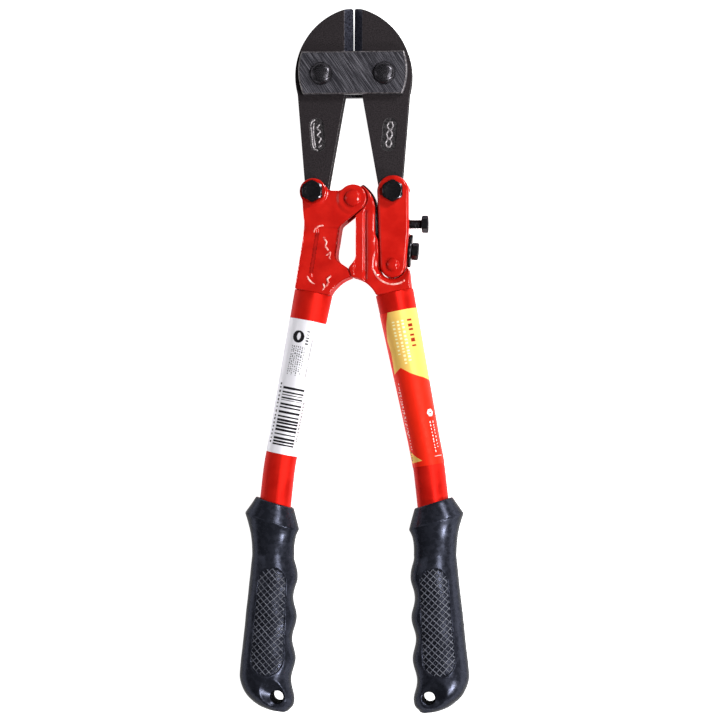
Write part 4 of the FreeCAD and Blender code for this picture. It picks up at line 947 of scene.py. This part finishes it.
def knurl(side, mesh, name, step=0.16):
    """A pad of raised crossing ribs, laid on the sunk face of a grip at front and back."""
    tree = BVHTree.FromPolygons(
        [v.co for v in mesh.vertices], [list(p.vertices) for p in mesh.polygons]
    )
    cos, sin = math.cos(PAD_LEAN), math.sin(PAD_LEAN)
    us = np.arange(-9, 9.01, step)
    vs = np.arange(-PAD_HALF_LENGTH - 0.5, PAD_HALF_LENGTH + 0.51, step)
    grid_u, grid_v = np.meshgrid(us, vs)
    room = pad_room(grid_u, grid_v)
    x = side * (PAD[0] + grid_u * cos - grid_v * sin)
    y = PAD[1] + grid_u * sin + grid_v * cos
    first = np.abs(((grid_u + grid_v) / PAD_PITCH / math.sqrt(2)) % 1 - 0.5) * 2
    second = np.abs(((grid_u - grid_v) / PAD_PITCH / math.sqrt(2)) % 1 - 0.5) * 2
    rib = np.maximum(ease(first, 0.55, 0.96), ease(second, 0.55, 0.96))
    dot = 0.45 * ease(0.3 - np.hypot(first, second), 0, 0.16)
    height = (0.78 * np.maximum(rib, dot) - 0.12) * ease(room, 0.2, 0.7) - 0.25 * ease(
        0.35 - room, 0, 0.3
    )
    points, faces, crests = [], [], []
    for sign in (1, -1):
        index = -np.ones(room.shape, int)
        for i, j in zip(*np.nonzero(room > 0.0)):
            start = Vector((x[i, j] * MM, y[i, j] * MM, (MID + sign * 30) * MM))
            hit = tree.ray_cast(start, Vector((0, 0, -sign)))[0]
            if hit is None:
                continue
            index[i, j] = len(points)
            points.append((hit.x, hit.y, hit.z + sign * height[i, j] * MM))
        a, b, c, d = index[:-1, :-1], index[1:, :-1], index[1:, 1:], index[:-1, 1:]
        whole = (a >= 0) & (b >= 0) & (c >= 0) & (d >= 0)
        quads = np.stack([a, b, c, d], -1)[whole]
        faces += (quads if sign * side < 0 else quads[:, ::-1]).tolist()
        # Crests take the lighter vinyl: partly wear, partly painted highlight.
        crests += (height[:-1, :-1][whole] > 0.48).tolist()
    mesh = bpy.data.meshes.new(name)
    mesh.from_pydata(points, [], faces)
    mesh.polygons.foreach_set("material_index", np.array(crests, int))
    return mesh


for side, name in ((-1, "left"), (1, "right")):
    mesh = moulded(f"{name}_grip", 0.5, 6)
    push(mesh, grip_relief(side))
    pads = knurl(side, mesh, f"{name}_pads")
    add_piece(
        f"{name}_grip_sleeve", mesh, [vinyl, painted_shade_bore], f"{name}_handle", "black_vinyl",
        f"{name}_grip",
    )
    # Faces inside the hang hole's bore take the near-black painted shade.
    for face in mesh.polygons:
        x, y, z = face.center / MM
        in_bore = math.hypot(x - side * HANG_HOLE[0], y - HANG_HOLE[1]) < 3.7
        if in_bore and abs(z - MID) < 8.2:
            face.material_index = 1
    add_piece(
        f"{name}_grip_pads", pads, [vinyl, vinyl_wear_and_highlight], f"{name}_handle", "black_vinyl"
    )


# ---------------------------------------------------------------- floor, light and camera


def plain(name, colour, roughness, glow):
    made = bpy.data.materials.new(name)
    made.use_nodes = True
    shader = made.node_tree.nodes["Principled BSDF"]
    shader.inputs["Base Color"].default_value = (*colour, 1)
    shader.inputs["Roughness"].default_value = roughness
    shader.inputs["Emission Color"].default_value = (1, 1, 1, 1)
    shader.inputs["Emission Strength"].default_value = glow
    return made


FLOOR_REACH, FLOOR_DROP = 4, 0.0003
floor_mesh = bpy.data.meshes.new("floor")
floor_corners = ((-1, -1), (1, -1), (1, 1), (-1, 1))
floor_mesh.from_pydata(
    [(x * FLOOR_REACH, y * FLOOR_REACH, -FLOOR_DROP) for x, y in floor_corners],
    [], [(0, 1, 2, 3)],
)
floor = bpy.data.objects.new("floor", floor_mesh)
bpy.context.scene.collection.objects.link(floor)
floor_mesh.materials.append(plain("pale_floor", (0.7, 0.7, 0.7), 0.9, 1.02))


def softbox(name, place, aim, size, power):
    light = bpy.data.lights.new(name, "AREA")
    light.shape = "RECTANGLE"
    light.size, light.size_y = size
    light.energy = power
    obj = bpy.data.objects.new(name, light)
    obj.location = place
    obj.rotation_euler = (Vector(aim) - Vector(place)).to_track_quat("-Z", "Y").to_euler()
    bpy.context.scene.collection.objects.link(obj)


softbox("overhead", (0.52, 0.05, 1.0), (0, 0, 0.01), (0.24, 0.36), 6.5)
softbox("upper_right", (0.62, 0.62, 0.62), (0, 0.03, 0.01), (0.12, 0.22), 7.5)
softbox("lower_right", (0.7, -0.5, 0.55), (0, 0.03, 0.01), (0.12, 0.22), 7.5)
softbox("left_wall", (-0.9, 0.15, 0.5), (0, 0, 0.01), (0.3, 0.9), 1)

world = bpy.data.worlds.new("studio")
world.use_nodes = True
world.node_tree.nodes["Background"].inputs["Color"].default_value = (0.95, 0.97, 1.0, 1)
world.node_tree.nodes["Background"].inputs["Strength"].default_value = 0.1
bpy.context.scene.world = world
bpy.context.scene.view_settings.view_transform = "Standard"

camera_data = bpy.data.cameras.new("camera")
camera_data.sensor_width = 36
camera_data.lens = 126.8
camera_data.dof.use_dof = False
camera_data.clip_start, camera_data.clip_end = 0.05, 20
camera = bpy.data.objects.new("camera", camera_data)
camera.location = (0.100, -0.032, 1.291)
aim = Vector((0.003, 0.0, 0.014)) - camera.location
back = -aim.normalized()
right = Vector((0, 1, 0)).cross(back).normalized()
camera.rotation_euler = Matrix((right, back.cross(right), back)).transposed().to_euler()
bpy.context.scene.collection.objects.link(camera)
bpy.context.scene.camera = camera
